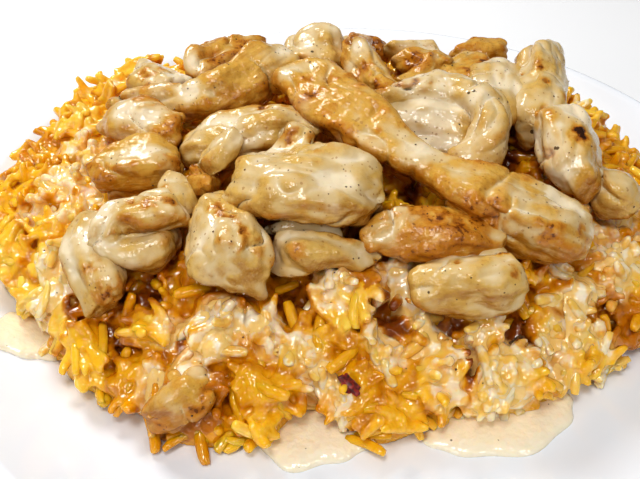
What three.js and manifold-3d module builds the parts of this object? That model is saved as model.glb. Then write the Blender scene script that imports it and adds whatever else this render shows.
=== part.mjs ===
// A round coupe plate carrying a low mound of cooked rice, strips of seared chicken piled on
// the rice, and three shallow pools of cream sauce round the foot of the mound.
// Millimetres, +Z up, the origin at the middle of the plate's foot, -Y the side eaten from.
import * as THREE from 'three';
import * as BufferGeometryUtils from 'three/addons/utils/BufferGeometryUtils.js';
import Module from 'manifold-3d';

const wasm = await Module();
wasm.setup();

// ---- driving dimensions ----
const GAP = 0.35; // clearance between neighbouring solids

const PLATE_RADIUS = 105;
const PLATE_HEIGHT = 20;
const PLATE_WALL = 3.8;
const PLATE_SIDES = 56;
const WELL_FLOOR = 5.5; // height of the eating surface in the middle
const WELL_RADIUS = 70; // where the floor starts to sweep up to the rim
const SWEEP_POWER = 1.7;
const FOOT_OUTER = 60;
const FOOT_INNER = 54;

const HEAP_X = -6; // middle of the rice
const HEAP_Y = 9;
const HEAP_HALF_LENGTH = 91;
const HEAP_HALF_DEPTH = 71;
const HEAP_RISE = 31.5; // crown above the well floor
const HEAP_EDGE = 3; // thickness of the outermost grains
const HEAP_SECTORS = 50;
const HEAP_RINGS = [0.18, 0.38, 0.56, 0.7, 0.81, 0.9, 0.96, 1];
const HEAP_BASE_RINGS = [0.9, 0.5];

const STRIP_SIDES = 8;

const SAUCE_DEPTH = 1.9;
const SAUCE_EDGE = 0.5;
const SAUCE_SIDES = 26;

// ---- colours ----
const GLAZE = { color: 0xf6f6f3, roughness: 0.15, metalness: 0 };
const SAFFRON_RICE = { color: 0xd99a3c, roughness: 0.45, metalness: 0 };
const CHICKEN = { color: 0xcfa468, roughness: 0.5, metalness: 0 };
const SEARED_CHICKEN = { color: 0xb57a3a, roughness: 0.5, metalness: 0 };
const SAUCED_CHICKEN = { color: 0xe3cfa2, roughness: 0.35, metalness: 0 };
const CREAM_SAUCE = { color: 0xefe2bd, roughness: 0.2, metalness: 0 };

// ---- turning arrays of points into closed bodies ----

// Joins stacked rings of equal length, with a single point closing each end.
function ringsToGeometry(start, rings, end) {
  const sides = rings[0].length;
  const points = [start, ...rings.flat(), end];
  const last = points.length - 1;
  const faces = [];
  for (let side = 0; side < sides; side += 1) {
    const next = (side + 1) % sides;
    faces.push(0, 1 + next, 1 + side);
    for (let ring = 0; ring < rings.length - 1; ring += 1) {
      const near = 1 + ring * sides;
      const far = near + sides;
      faces.push(near + side, near + next, far + next);
      faces.push(near + side, far + next, far + side);
    }
    const rim = 1 + (rings.length - 1) * sides;
    faces.push(last, rim + side, rim + next);
  }
  const geometry = new THREE.BufferGeometry();
  geometry.setAttribute('position', new THREE.Float32BufferAttribute(points.flat(), 3));
  geometry.setIndex(faces);
  return geometry;
}

function toManifold(geometry) {
  const bare = geometry.clone();
  bare.deleteAttribute('normal');
  bare.deleteAttribute('uv');
  const merged = BufferGeometryUtils.mergeVertices(bare, 1e-4);
  const vertProperties = new Float32Array(merged.attributes.position.array);
  const triVerts = new Uint32Array(merged.index.array);
  return new wasm.Manifold(new wasm.Mesh({ numProp: 3, vertProperties, triVerts }));
}

function toGeometry(manifold) {
  const mesh = manifold.getMesh();
  const geometry = new THREE.BufferGeometry();
  geometry.setAttribute('position', new THREE.Float32BufferAttribute(mesh.vertProperties, 3));
  geometry.setIndex(new THREE.Uint32BufferAttribute(mesh.triVerts, 1));
  return geometry;
}

// The biggest connected body left after a cut.
function largestBody(manifold) {
  const bodies = manifold.decompose();
  bodies.sort((a, b) => b.volume() - a.volume());
  return bodies[0];
}

function addNode(group, name, manifold, look) {
  const mesh = new THREE.Mesh(toGeometry(manifold), new THREE.MeshStandardMaterial(look));
  mesh.name = name;
  group.add(mesh);
}

// ---- plate ----

// Height of the eating surface at a distance from the plate's axis.
function floorHeight(radius) {
  const sweep = Math.max(0, (radius - WELL_RADIUS) / (PLATE_RADIUS - WELL_RADIUS));
  return WELL_FLOOR + (PLATE_HEIGHT - WELL_FLOOR) * Math.min(1, sweep) ** SWEEP_POWER;
}

function plateProfile() {
  const lip = PLATE_RADIUS - 1.2;
  const inner = [0, 45, WELL_RADIUS, 79, 87, 94, 99, lip];
  const outer = [PLATE_RADIUS - 1.5, 97, 89, 80, FOOT_OUTER];
  const profile = inner.map((radius) => [radius, floorHeight(radius)]);
  profile.push([PLATE_RADIUS - 0.3, PLATE_HEIGHT - 0.3]);
  profile.push([PLATE_RADIUS, PLATE_HEIGHT - 1.3]);
  for (const radius of outer) {
    profile.push([radius, floorHeight(radius + 1.5) - PLATE_WALL]);
  }
  profile.push([FOOT_OUTER - 0.5, 0]);
  profile.push([FOOT_INNER + 0.5, 0]);
  profile.push([FOOT_INNER, WELL_FLOOR - PLATE_WALL]);
  profile.push([0, WELL_FLOOR - PLATE_WALL]);
  return profile.reverse().map(([radius, height]) => new THREE.Vector2(radius, height));
}

function makePlate() {
  const geometry = new THREE.LatheGeometry(plateProfile(), PLATE_SIDES);
  geometry.rotateX(Math.PI / 2);
  return toManifold(geometry);
}

// ---- rice ----

// Smooth dip of the outline centred on one bearing, in degrees.
function bay(bearing, middle, halfWidth, depth) {
  return depth * Math.exp(-(((bearing - middle) / halfWidth) ** 2));
}

// Distance from the middle of the rice to its outline along one bearing (radians), a given
// share of the way out. The bays that the sauce has run into are cut in the foot alone.
function heapReach(angle, share) {
  const power = Math.sin(angle) > 0 ? 2.35 : 2;
  const across = Math.abs(Math.cos(angle) / HEAP_HALF_LENGTH) ** power;
  const along = Math.abs(Math.sin(angle) / HEAP_HALF_DEPTH) ** power;
  const smooth = (across + along) ** (-1 / power);
  const lobes = 1.4 * Math.sin(3 * angle + 1.2) + 1.1 * Math.sin(11 * angle);
  const bearing = THREE.MathUtils.radToDeg(angle);
  const bays = bay(bearing, 205, 8, 7) + bay(bearing, 266, 7, 12) + bay(bearing, 299, 11, 6);
  return share * (smooth + lobes) - share ** 6 * bays;
}

// Clumps that stand up from the surface.
function heapLumps(x, y) {
  const broad = Math.sin(x * 0.16 + 1) * Math.cos(y * 0.19 - 0.4);
  const fine = Math.sin(x * 0.41 - y * 0.23) * Math.cos(y * 0.37 + x * 0.12);
  return 0.9 * broad + 0.8 * fine;
}

// Height of the rice a given share of the way out (0 crown, 1 foot).
function heapHeight(angle, share, x, y) {
  const reach = heapReach(angle, 1);
  const footX = HEAP_X + reach * Math.cos(angle);
  const footY = HEAP_Y + reach * Math.sin(angle);
  const foot = floorHeight(Math.hypot(footX, footY)) + HEAP_EDGE;
  const power = 2.7 + 0.9 * Math.max(0, Math.sin(angle));
  const fall = (1 - share ** power) ** 0.8;
  const crown = WELL_FLOOR + HEAP_RISE;
  return foot + (crown - foot) * fall + heapLumps(x, y) * (1 - share ** 6);
}

function heapRing(share, grow, heightAt) {
  const ring = [];
  for (let sector = 0; sector < HEAP_SECTORS; sector += 1) {
    const angle = (sector / HEAP_SECTORS) * 2 * Math.PI;
    const reach = heapReach(angle, share) + share * grow;
    const x = HEAP_X + reach * Math.cos(angle);
    const y = HEAP_Y + reach * Math.sin(angle);
    ring.push([x, y, heightAt(angle, x, y)]);
  }
  return ring;
}

function makeHeap(grow) {
  const base = (angle, x, y) => floorHeight(Math.hypot(x, y)) + GAP - grow;
  const rings = [...HEAP_BASE_RINGS].reverse().map((share) => heapRing(share, grow, base));
  rings.push(heapRing(1, grow, base));
  for (const share of [...HEAP_RINGS].reverse()) {
    rings.push(heapRing(share, grow, (a, x, y) => heapHeight(a, share, x, y) + grow));
  }
  const bottom = [HEAP_X, HEAP_Y, base(0, HEAP_X, HEAP_Y)];
  const crown = [HEAP_X, HEAP_Y, heapHeight(0, 0, HEAP_X, HEAP_Y) + grow];
  return toManifold(ringsToGeometry(bottom, rings, crown));
}

// ---- chicken ----

// Catmull-Rom reading of one column of a table of stations.
function alongStations(stations, share) {
  const span = share * (stations.length - 1);
  const step = Math.min(stations.length - 2, Math.floor(span));
  const t = span - step;
  const at = (index) => stations[Math.max(0, Math.min(stations.length - 1, index))];
  return at(step).map((value, column) => {
    const before = at(step - 1)[column];
    const next = at(step + 1)[column];
    const after = at(step + 2)[column];
    const bend = 2 * before - 5 * value + 4 * next - after;
    const twist = 3 * value - before - 3 * next + after;
    return value + 0.5 * t * (next - before + t * (bend + t * twist));
  });
}

// One ring of a strip: a rounded box, uneven round its edge, standing across the path.
function stripRing(stations, share, swell, grow, seed) {
  const [x, y, z, width, thick, lean] = alongStations(stations, share);
  const ahead = alongStations(stations, Math.min(1, share + 0.02));
  const behind = alongStations(stations, Math.max(0, share - 0.02));
  const path = new THREE.Vector3(ahead[0] - behind[0], ahead[1] - behind[1], ahead[2] - behind[2]);
  path.normalize();
  const side = new THREE.Vector3().crossVectors(new THREE.Vector3(0, 0, 1), path).normalize();
  const up = new THREE.Vector3().crossVectors(path, side);
  const tilt = THREE.MathUtils.degToRad(lean);
  const ring = [];
  for (let corner = 0; corner < STRIP_SIDES; corner += 1) {
    const angle = (corner / STRIP_SIDES) * 2 * Math.PI;
    const box = (Math.abs(Math.cos(angle)) ** 2.6 + Math.abs(Math.sin(angle)) ** 2.6) ** (-1 / 2.6);
    const knobbly = 1 + 0.07 * Math.sin(3 * angle + 9 * share + seed) * Math.sin(14 * share + seed);
    const across = (width / 2) * swell * box * knobbly * Math.cos(angle) + grow * Math.cos(angle);
    const above = (thick / 2) * swell * box * knobbly * Math.sin(angle) + grow * Math.sin(angle);
    const u = across * Math.cos(tilt) - above * Math.sin(tilt);
    const v = across * Math.sin(tilt) + above * Math.cos(tilt);
    ring.push([
      x + u * side.x + v * up.x,
      y + u * side.y + v * up.y,
      z + u * side.z + v * up.z,
    ]);
  }
  return ring;
}

// Blunt rounded ends: how full the section is at each share of the length.
function endSwell(share) {
  const cap = Math.min(1, Math.min(share, 1 - share) / 0.2);
  return 0.5 + 0.5 * Math.sqrt(1 - (1 - cap) ** 2);
}

function makeLeg(stations, grow, seed) {
  const rings = [];
  const count = 2 * stations.length + 1;
  for (let index = 0; index < count; index += 1) {
    const share = 0.5 - 0.5 * Math.cos((index / (count - 1)) * Math.PI);
    rings.push(stripRing(stations, share, endSwell(share), grow, seed));
  }
  const reachPast = (near, inner) => {
    const from = new THREE.Vector3(...alongStations(stations, inner).slice(0, 3));
    const tip = new THREE.Vector3(...alongStations(stations, near).slice(0, 3));
    const outward = tip.clone().sub(from).normalize();
    return tip.addScaledVector(outward, 0.8 + grow).toArray();
  };
  return toManifold(ringsToGeometry(reachPast(0, 0.05), rings, reachPast(1, 0.95)));
}

// Each piece is one leg, or two or three joined where it folds or forks. A leg is a list of
// stations: x, y, z, width, thickness, lean of the section in degrees. The pieces stand in
// order from the top of the pile down, because each gives way to those before it.
const PIECES = [
  ['chicken_long_strip', CHICKEN, [
    [-17, 24, 51, 10, 9, 10], [-6, 9, 50, 12, 10, 10], [5, -3, 48, 11, 9, 0],
    [14, -9, 47, 8, 7, 0], [26, -17, 44, 12, 10, 0], [38, -21, 38, 14, 12, 0],
    [50, -20, 33, 12, 11, 0],
  ]],
  ['chicken_back_glazed_strip', SEARED_CHICKEN, [
    [-3, 42, 49, 8, 6, 0], [1, 27, 51, 8, 6, 0], [7, 15, 50, 7, 5, 0],
  ]],
  ['chicken_curled_strip', SAUCED_CHICKEN, [
    [7, 13, 47, 11, 6, 40], [16, 12, 47, 13, 7, 40], [25, 9, 47, 13, 8, 20],
    [30, 6, 46, 8, 7, 0],
  ], [
    [28, 9, 46, 8, 7, 0], [29, 2, 45, 9, 8, 0], [23, -4, 43, 8, 7, 0], [15, -6, 42, 6, 5, 0],
  ]],
  ['chicken_big_sauced_chunk', SAUCED_CHICKEN, [
    [-31, -13, 45, 12, 11, 0], [-22, -18, 46, 18, 14, 0], [-12, -19, 47, 18, 15, 0],
    [-3, -19, 46, 17, 14, 0], [4, -17, 45, 14, 12, 0],
  ], [
    [-18, -11, 47, 7, 7, 0], [-15, -7, 51, 5, 5, 0], [-14, -4, 54, 3, 3, 0],
  ]],
  ['chicken_left_wave_strip', CHICKEN, [
    [-64, 23, 39, 8, 5, 40], [-50, 20, 42, 10, 5, 45], [-39, 19, 45, 12, 6, 45],
    [-30, 23, 47, 13, 7, 45], [-23, 29, 48, 14, 8, 35], [-16, 35, 48, 10, 7, 20],
  ]],
  ['chicken_back_crest_curl', SAUCED_CHICKEN, [
    [7, 42, 47, 6, 5, 0], [15, 43, 46, 7, 5, 0], [22, 39, 46, 7, 5, 0],
  ]],
  ['chicken_right_lobed_strip', SAUCED_CHICKEN, [
    [47, 44, 44, 13, 11, 0], [47, 30, 44, 14, 12, 0], [43, 16, 43, 11, 10, 0],
    [40, 9, 40, 8, 7, 0],
  ]],
  ['chicken_right_charred_chunk', CHICKEN, [
    [46, 20, 40, 11, 10, 0], [50, 7, 41, 15, 12, 0], [48, -4, 38, 12, 11, 0],
  ]],
  ['chicken_left_folded_strip', SAUCED_CHICKEN, [
    [-39, -19, 42, 8, 7, 0], [-48, -18, 41, 10, 8, 0], [-56, -20, 39, 10, 8, 0],
    [-60, -24, 36, 7, 6, 0],
  ], [
    [-60, -22, 37, 7, 6, 0], [-54, -25, 34, 10, 8, 0], [-43, -25, 34, 9, 7, 0],
  ]],
  ['chicken_front_rounded_chunk', SAUCED_CHICKEN, [
    [-34, -18, 41, 10, 9, 0], [-31, -26, 40, 15, 13, 0], [-29, -34, 37, 17, 14, 0],
    [-28, -39, 33, 12, 10, 0],
  ]],
  ['chicken_left_glossy_slice', SAUCED_CHICKEN, [
    [-66, 16, 39, 9, 6, 20], [-55, 11, 43, 10, 7, 20], [-44, 7, 43, 7, 5, 20],
  ]],
  ['chicken_left_rounded_chunk', CHICKEN, [
    [-60, 0, 38, 12, 11, 0], [-52, -2, 40, 15, 13, 0], [-45, 0, 40, 9, 8, 0],
  ]],
  ['chicken_middle_arm', SAUCED_CHICKEN, [
    [-28, 0, 48, 7, 6, 0], [-33, -5, 46, 7, 6, 0], [-36, -9, 43, 7, 6, 0],
  ]],
  ['chicken_middle_sauced_strip', SAUCED_CHICKEN, [
    [-43, 3, 42, 7, 6, 0], [-35, 3, 44, 10, 8, 0], [-24, 4, 46, 12, 9, 0],
    [-15, 5, 46, 11, 8, 0], [-9, 4, 45, 6, 5, 0],
  ]],
  ['chicken_front_smooth_chunk', SAUCED_CHICKEN, [
    [10, -36, 34, 5, 5, 0], [17, -36, 35, 12, 10, 0], [26, -35, 35, 14, 12, 0],
    [34, -32, 33, 11, 10, 0],
  ]],
  ['chicken_front_seared_strip', SEARED_CHICKEN, [
    [0, -26, 38, 8, 6, 0], [8, -24, 39, 12, 8, 0], [18, -24, 39, 14, 9, 0],
    [30, -25, 37, 11, 7, 0],
  ]],
  ['chicken_small_front_strip', SAUCED_CHICKEN, [
    [-22, -29, 38, 8, 7, 0], [-15, -30, 39, 10, 9, 0], [-8, -30, 39, 6, 5, 0],
    [-1, -30, 38, 7, 5, 0], [5, -30, 36, 4, 3, 0],
  ]],
  ['chicken_thin_grey_strip', SAUCED_CHICKEN, [
    [-22, -24, 40, 5, 4, 0], [-14, -25, 41, 6, 4, 0], [-4, -26, 39, 4, 3, 0],
  ]],
  ['chicken_narrow_link_strip', SAUCED_CHICKEN, [
    [-45, -8, 42, 6, 5, 0], [-42, -14, 41, 8, 6, 0], [-39, -20, 40, 7, 5, 0],
  ]],
  ['chicken_small_middle_piece', SEARED_CHICKEN, [
    [-42, -4, 42, 6, 4, 0], [-38, -8, 41, 7, 5, 0], [-34, -12, 40, 6, 5, 0],
  ]],
  ['chicken_left_upright_strip', SAUCED_CHICKEN, [
    [-58, -13, 37, 7, 5, 0], [-62, -21, 34, 10, 7, 0], [-59, -29, 30, 10, 8, 0],
    [-56, -36, 25, 10, 8, 0],
  ]],
  ['chicken_back_sauced_chunk', SAUCED_CHICKEN, [
    [-20, 41, 45, 10, 8, 0], [-12, 41, 46, 13, 10, 0], [-4, 38, 46, 11, 9, 0],
  ]],
  ['chicken_back_brown_strip', SEARED_CHICKEN, [
    [-9, 52, 41, 8, 6, 0], [-1, 53, 41, 9, 7, 0], [7, 51, 41, 8, 6, 0],
  ]],
  ['chicken_back_ring_chunk', CHICKEN, [
    [11, 38, 43, 10, 8, 0], [16, 37, 44, 11, 9, 0], [22, 35, 44, 10, 8, 0],
  ], [
    [20, 36, 44, 9, 8, 0], [18, 29, 44, 9, 7, 0], [11, 26, 43, 7, 6, 0],
  ]],
  ['chicken_back_sliver', SAUCED_CHICKEN, [
    [28, 24, 46, 4, 3, 0], [31, 25, 47, 5, 4, 0], [34, 26, 46, 4, 3, 0],
  ]],
  ['chicken_right_back_lobe', SAUCED_CHICKEN, [
    [38, 36, 42, 10, 8, 0], [34, 22, 44, 12, 10, 0], [36, 12, 41, 9, 7, 0],
  ]],
  ['chicken_back_knotted_piece', CHICKEN, [
    [23, 26, 43, 10, 8, 0], [29, 33, 44, 12, 9, 0], [37, 41, 42, 8, 6, 0],
  ]],
  ['chicken_back_thin_strip', CHICKEN, [
    [24, 47, 41, 7, 5, 0], [34, 48, 41, 8, 6, 0], [43, 50, 40, 6, 5, 0],
  ]],
  ['chicken_far_left_brown_strip', SEARED_CHICKEN, [
    [-45, 35, 44, 9, 6, 30], [-38, 42, 43, 11, 7, 30], [-31, 50, 42, 11, 7, 30],
    [-25, 55, 40, 8, 5, 20],
  ]],
  ['chicken_far_left_sauced_end', SAUCED_CHICKEN, [
    [-60, 40, 40, 11, 9, 0], [-52, 34, 42, 12, 9, 0], [-45, 29, 43, 9, 8, 0],
  ]],
  ['chicken_right_sauced_lump', SAUCED_CHICKEN, [
    [54, -3, 34, 10, 9, 0], [60, -4, 33, 12, 10, 0], [66, -5, 29, 8, 7, 0],
  ]],
  ['chicken_foot_seared_chunk', SEARED_CHICKEN, [
    [-46, -55, 11, 9, 7, 0], [-40, -54, 15, 12, 9, 0], [-33, -52, 18, 11, 9, 0],
  ]],
];

function makePiece(legs, grow, seed) {
  return legs.map((leg) => makeLeg(leg, grow, seed)).reduce((whole, leg) => whole.add(leg));
}

// Adds every piece to the group and returns the room each takes, clearance included.
function addChicken(group) {
  const placed = [];
  PIECES.forEach(([name, look, ...legs], index) => {
    let piece = makePiece(legs, 0, index);
    for (const above of placed) {
      piece = piece.subtract(above);
    }
    addNode(group, name, largestBody(piece), look);
    placed.push(makePiece(legs, GAP, index));
  });
  return placed;
}

// ---- sauce ----

// Pools: middle x and y, half length, half depth, turn in degrees, ripple of the outline.
const POOLS = [
  ['sauce_pool_left', [-80, -28, 9, 7, -20, 0.8]],
  ['sauce_pool_front', [-11, -56, 12, 8, 0, 1.2]],
  ['sauce_pool_right', [31, -51, 18, 7, 18, 1]],
];

function makePool([middleX, middleY, halfLength, halfDepth, turn, ripple]) {
  const tilt = THREE.MathUtils.degToRad(turn);
  const ringAt = (share, rise) => {
    const ring = [];
    for (let side = 0; side < SAUCE_SIDES; side += 1) {
      const angle = (side / SAUCE_SIDES) * 2 * Math.PI;
      const wave = ripple * Math.sin(3 * angle + middleX);
      const u = share * (halfLength + wave) * Math.cos(angle);
      const v = share * (halfDepth + wave) * Math.sin(angle);
      const x = middleX + u * Math.cos(tilt) - v * Math.sin(tilt);
      const y = middleY + u * Math.sin(tilt) + v * Math.cos(tilt);
      ring.push([x, y, floorHeight(Math.hypot(x, y)) + rise]);
    }
    return ring;
  };
  const middle = (rise) => [middleX, middleY, floorHeight(Math.hypot(middleX, middleY)) + rise];
  const rings = [ringAt(0.5, GAP), ringAt(1, GAP), ringAt(1, GAP + SAUCE_EDGE)];
  rings.push(ringAt(0.85, GAP + SAUCE_DEPTH - 0.4), ringAt(0.5, GAP + SAUCE_DEPTH));
  return toManifold(ringsToGeometry(middle(GAP), rings, middle(GAP + SAUCE_DEPTH)));
}

// ---- the plated meal ----

function makeMeal() {
  const meal = new THREE.Group();
  meal.name = 'chicken_and_rice';
  addNode(meal, 'plate', makePlate(), GLAZE);
  const chicken = addChicken(meal);
  let heap = makeHeap(0);
  for (const strip of chicken) {
    heap = heap.subtract(strip);
  }
  addNode(meal, 'rice_heap', largestBody(heap), SAFFRON_RICE);
  const heapRoom = makeHeap(GAP);
  for (const [name, shape] of POOLS) {
    let pool = makePool(shape).subtract(heapRoom);
    for (const strip of chicken) {
      pool = pool.subtract(strip);
    }
    addNode(meal, name, largestBody(pool), CREAM_SAUCE);
  }
  return meal;
}

export default makeMeal();
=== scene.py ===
"""Chicken and rice on its plate: a coupe plate, a heap of saffron rice, strips of seared
chicken on the rice, cream sauce over both and a little seasoning. Millimetres inside the
functions, metres in the meshes, -Y the side eaten from."""

import bpy
import numpy as np
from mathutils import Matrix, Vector


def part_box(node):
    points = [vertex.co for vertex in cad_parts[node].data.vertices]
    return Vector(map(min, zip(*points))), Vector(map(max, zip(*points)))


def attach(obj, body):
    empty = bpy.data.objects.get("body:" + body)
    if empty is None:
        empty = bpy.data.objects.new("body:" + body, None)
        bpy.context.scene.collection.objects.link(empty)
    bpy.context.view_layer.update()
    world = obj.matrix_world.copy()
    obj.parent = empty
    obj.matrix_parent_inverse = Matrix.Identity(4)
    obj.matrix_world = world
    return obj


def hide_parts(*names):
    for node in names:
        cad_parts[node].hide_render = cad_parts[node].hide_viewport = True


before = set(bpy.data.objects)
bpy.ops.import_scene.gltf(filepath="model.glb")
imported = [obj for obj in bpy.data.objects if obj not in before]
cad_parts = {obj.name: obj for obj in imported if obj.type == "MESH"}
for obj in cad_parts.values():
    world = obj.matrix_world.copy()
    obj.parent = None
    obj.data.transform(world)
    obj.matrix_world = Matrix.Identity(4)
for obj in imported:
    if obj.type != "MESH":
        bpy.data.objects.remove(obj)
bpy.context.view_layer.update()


# ---- The plate ----
# A plain round coupe plate of white porcelain, pressed and fired in one piece. A clear glaze
# covers it everywhere except the foot ring it stands on, which is left bare and slightly rough.

MM = 0.001
PLATE_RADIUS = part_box("plate")[1].x / MM
PLATE_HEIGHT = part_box("plate")[1].z / MM
PLATE_WALL = 3.8
PLATE_SIDES = 224
WELL_FLOOR = 5.5
WELL_RADIUS = 70.0
RISE_POWER = 1.7
UNDERSIDE_SHIFT = 1.5
LIP_RADIUS = 1.9
FOOT_OUTER = 60.0
FOOT_INNER = 54.0
FOOT_SQUARENESS = 0.35
TOP_RINGS = 70
LIP_RINGS = 12
UNDER_RINGS = 50
FULL_TURN = 2 * np.pi


def floor_height(radius):
    """Eating surface: a level floor, then a rise as a power of the way from there to the rim."""
    way = np.clip((radius - WELL_RADIUS) / (PLATE_RADIUS - WELL_RADIUS), 0, 1)
    return WELL_FLOOR + (PLATE_HEIGHT - WELL_FLOOR) * way**RISE_POWER


def plate_profile():
    """Radius and height down the whole section: the eating surface out to the lip, a half
    round over the lip, back under the wall, round the foot ring and in to the middle."""
    inner = np.linspace(1.0, PLATE_RADIUS - LIP_RADIUS, TOP_RINGS)
    outer = np.linspace(PLATE_RADIUS - LIP_RADIUS, FOOT_OUTER + 1, UNDER_RINGS)
    top = floor_height(inner[-1])
    underside = floor_height(outer + UNDERSIDE_SHIFT) - PLATE_WALL
    bottom = underside[0]
    turn = np.linspace(0, np.pi, LIP_RINGS + 2)[1:-1]
    lip_middle = (top + bottom) / 2
    lip_half = (top - bottom) / 2
    lip = np.stack(
        [inner[-1] + LIP_RADIUS * np.sin(turn), lip_middle + lip_half * np.cos(turn)], -1
    )
    upper = np.stack([inner, floor_height(inner)], -1)
    under = np.stack([outer, underside], -1)
    step = WELL_FLOOR - PLATE_WALL
    foot_bend = np.linspace(0, np.pi, 9)
    foot_middle = (FOOT_OUTER + FOOT_INNER) / 2
    foot_half = (FOOT_OUTER - FOOT_INNER) / 2
    foot_height = step * (1 - np.sin(foot_bend) ** FOOT_SQUARENESS)
    foot = np.stack([foot_middle + foot_half * np.cos(foot_bend), foot_height], -1)
    base = np.stack([np.array([FOOT_INNER - 1.5, 30, 1]), np.full(3, step)], -1)
    return np.concatenate([upper, lip, under, foot, base])


def closed_faces(rings, sides):
    """Faces over stacked rings of points, with one pole point before the first ring and one
    after the last: a fan at each pole, and a wrapped band of quads between two rings."""
    side = np.arange(sides)
    following = (side + 1) % sides
    near = 1 + sides * np.arange(rings - 1)[:, None]
    far = near + sides
    quads = np.stack([near + side, far + side, far + following, near + following], -1)
    first = np.stack([0 * side, 1 + side, 1 + following], -1)
    rim = 1 + sides * (rings - 1)
    last = np.stack([0 * side + rim + sides, rim + following, rim + side], -1)
    return quads.reshape(-1, 4), np.concatenate([first, last])


def closed_shell(rings, start, end):
    """Points, quads and triangles of a shell of rings with a pole before and after them."""
    points = np.concatenate([[start], rings.reshape(-1, 3), [end]])
    return points, *closed_faces(*rings.shape[:2])


def new_mesh(name, points, quads=(), triangles=()):
    """A smooth mesh from points in millimetres, with rows of four and of three corners."""
    mesh = bpy.data.meshes.new(name)
    corners = np.concatenate([np.ravel(quads), np.ravel(triangles)]).astype(np.int32)
    squares = 4 * np.arange(len(quads))
    thirds = 4 * len(quads) + 3 * np.arange(len(triangles))
    starts = np.concatenate([squares, thirds]).astype(np.int32)
    mesh.vertices.add(len(points))
    mesh.vertices.foreach_set("co", (points * MM).astype(np.float32).ravel())
    mesh.loops.add(len(corners))
    mesh.loops.foreach_set("vertex_index", corners)
    mesh.polygons.add(len(starts))
    mesh.polygons.foreach_set("loop_start", starts)
    mesh.polygons.foreach_set("use_smooth", np.ones(len(starts), bool))
    mesh.update(calc_edges=True)
    mesh.validate()
    return mesh


def serve(mesh, material, slot, nodes=(), **fields):
    """Puts a mesh on the one body as a piece, with its finish, the solids it stands for and
    one named value per point for each field."""
    for name, values in fields.items():
        kind = "FLOAT_VECTOR" if values.ndim == 2 else "FLOAT"
        attribute = mesh.attributes.new(name, kind, "POINT")
        target = "vector" if values.ndim == 2 else "value"
        attribute.data.foreach_set(target, values.astype(np.float32).ravel())
    mesh.materials.append(material)
    piece = bpy.data.objects.new(mesh.name, mesh)
    bpy.context.scene.collection.objects.link(piece)
    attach(piece, "root")
    if nodes:
        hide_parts(*nodes)
    return piece


def colour(red, green, blue):
    """Display values from 0 to 255 as the linear colour a shader takes."""
    shown = np.array([red, green, blue]) / 255
    linear = np.where(shown <= 0.04045, shown / 12.92, ((shown + 0.055) / 1.055) ** 2.4)
    return (*linear.tolist(), 1.0)


class Signal:
    """One output of a material's nodes, on which + - and * add Math nodes."""

    def __init__(self, finish, socket):
        self.finish = finish
        self.socket = socket

    def math(self, operation, *terms):
        return self.finish.add("ShaderNodeMath", {"operation": operation}, dict(enumerate(terms)))

    def __add__(self, other):
        return self.math("ADD", self, other)

    def __sub__(self, other):
        return self.math("SUBTRACT", self, other)

    def __rsub__(self, other):
        return self.math("SUBTRACT", other, self)

    def __mul__(self, other):
        return self.math("MULTIPLY", self, other)

    __radd__ = __add__
    __rmul__ = __mul__

    def between(self, low, high):
        """0 below low, 1 above high, and a smooth rise between them."""
        settings = {"interpolation_type": "SMOOTHSTEP"}
        sockets = {"Value": self, "From Min": low, "From Max": high}
        return self.finish.add("ShaderNodeMapRange", settings, sockets)


class Finish:
    """A material and the nodes that make it."""

    def __init__(self, name):
        self.material = bpy.data.materials.new(name)
        self.material.use_nodes = True
        self.tree = self.material.node_tree
        self.shader = self.tree.nodes["Principled BSDF"]

    def put(self, socket, value):
        """Links a signal to a socket, or sets the socket to a plain value."""
        if isinstance(value, Signal):
            self.tree.links.new(value.socket, socket)
        else:
            socket.default_value = value

    def add(self, kind, settings, sockets, output=0):
        """A node of one kind, its settings first, then the values or links of its sockets."""
        node = self.tree.nodes.new(kind)
        for name, value in settings.items():
            setattr(node, name, value)
        for name, value in sockets.items():
            self.put(node.inputs[name], value)
        return Signal(self, node.outputs[output])

    def place(self):
        """The point's own place in the piece, in metres."""
        return self.add("ShaderNodeTexCoord", {}, {}, "Object")

    def field(self, name, output="Fac"):
        """One of the values that the mesh carries for each point."""
        return self.add("ShaderNodeAttribute", {"attribute_name": name}, {}, output)

    def noise(self, where, size, detail=2.0, roughness=0.5):
        """Cloudy noise from 0 to 1 whose lumps are about size across, in where's units."""
        sockets = {"Vector": where, "Scale": 1 / size, "Detail": detail, "Roughness": roughness}
        return self.add("ShaderNodeTexNoise", {}, sockets)

    def cells(self, where, size):
        """Distance from the nearest of points strewn about size apart, in shares of size."""
        return self.add("ShaderNodeTexVoronoi", {}, {"Vector": where, "Scale": 1 / size}, "Distance")

    def blend(self, share, first, second):
        """Colour first where share is 0, and second where it is 1."""
        settings = {"data_type": "RGBA", "clamp_factor": True}
        sockets = {"Factor": share, 6: first, 7: second}
        return self.add("ShaderNodeMix", settings, sockets, 2)

    def bump(self, height, depth):
        """Relief of that depth in millimetres where height goes from 0 to 1."""
        sockets = {"Height": height, "Distance": depth * MM, "Strength": 1.0}
        return self.add("ShaderNodeBump", {}, sockets)

    def paint(self, **values):
        """Values and links for the Principled sockets, spaces written as underscores."""
        for name, value in values.items():
            self.put(self.shader.inputs[name.replace("_", " ")], value)
        return self.material


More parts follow.
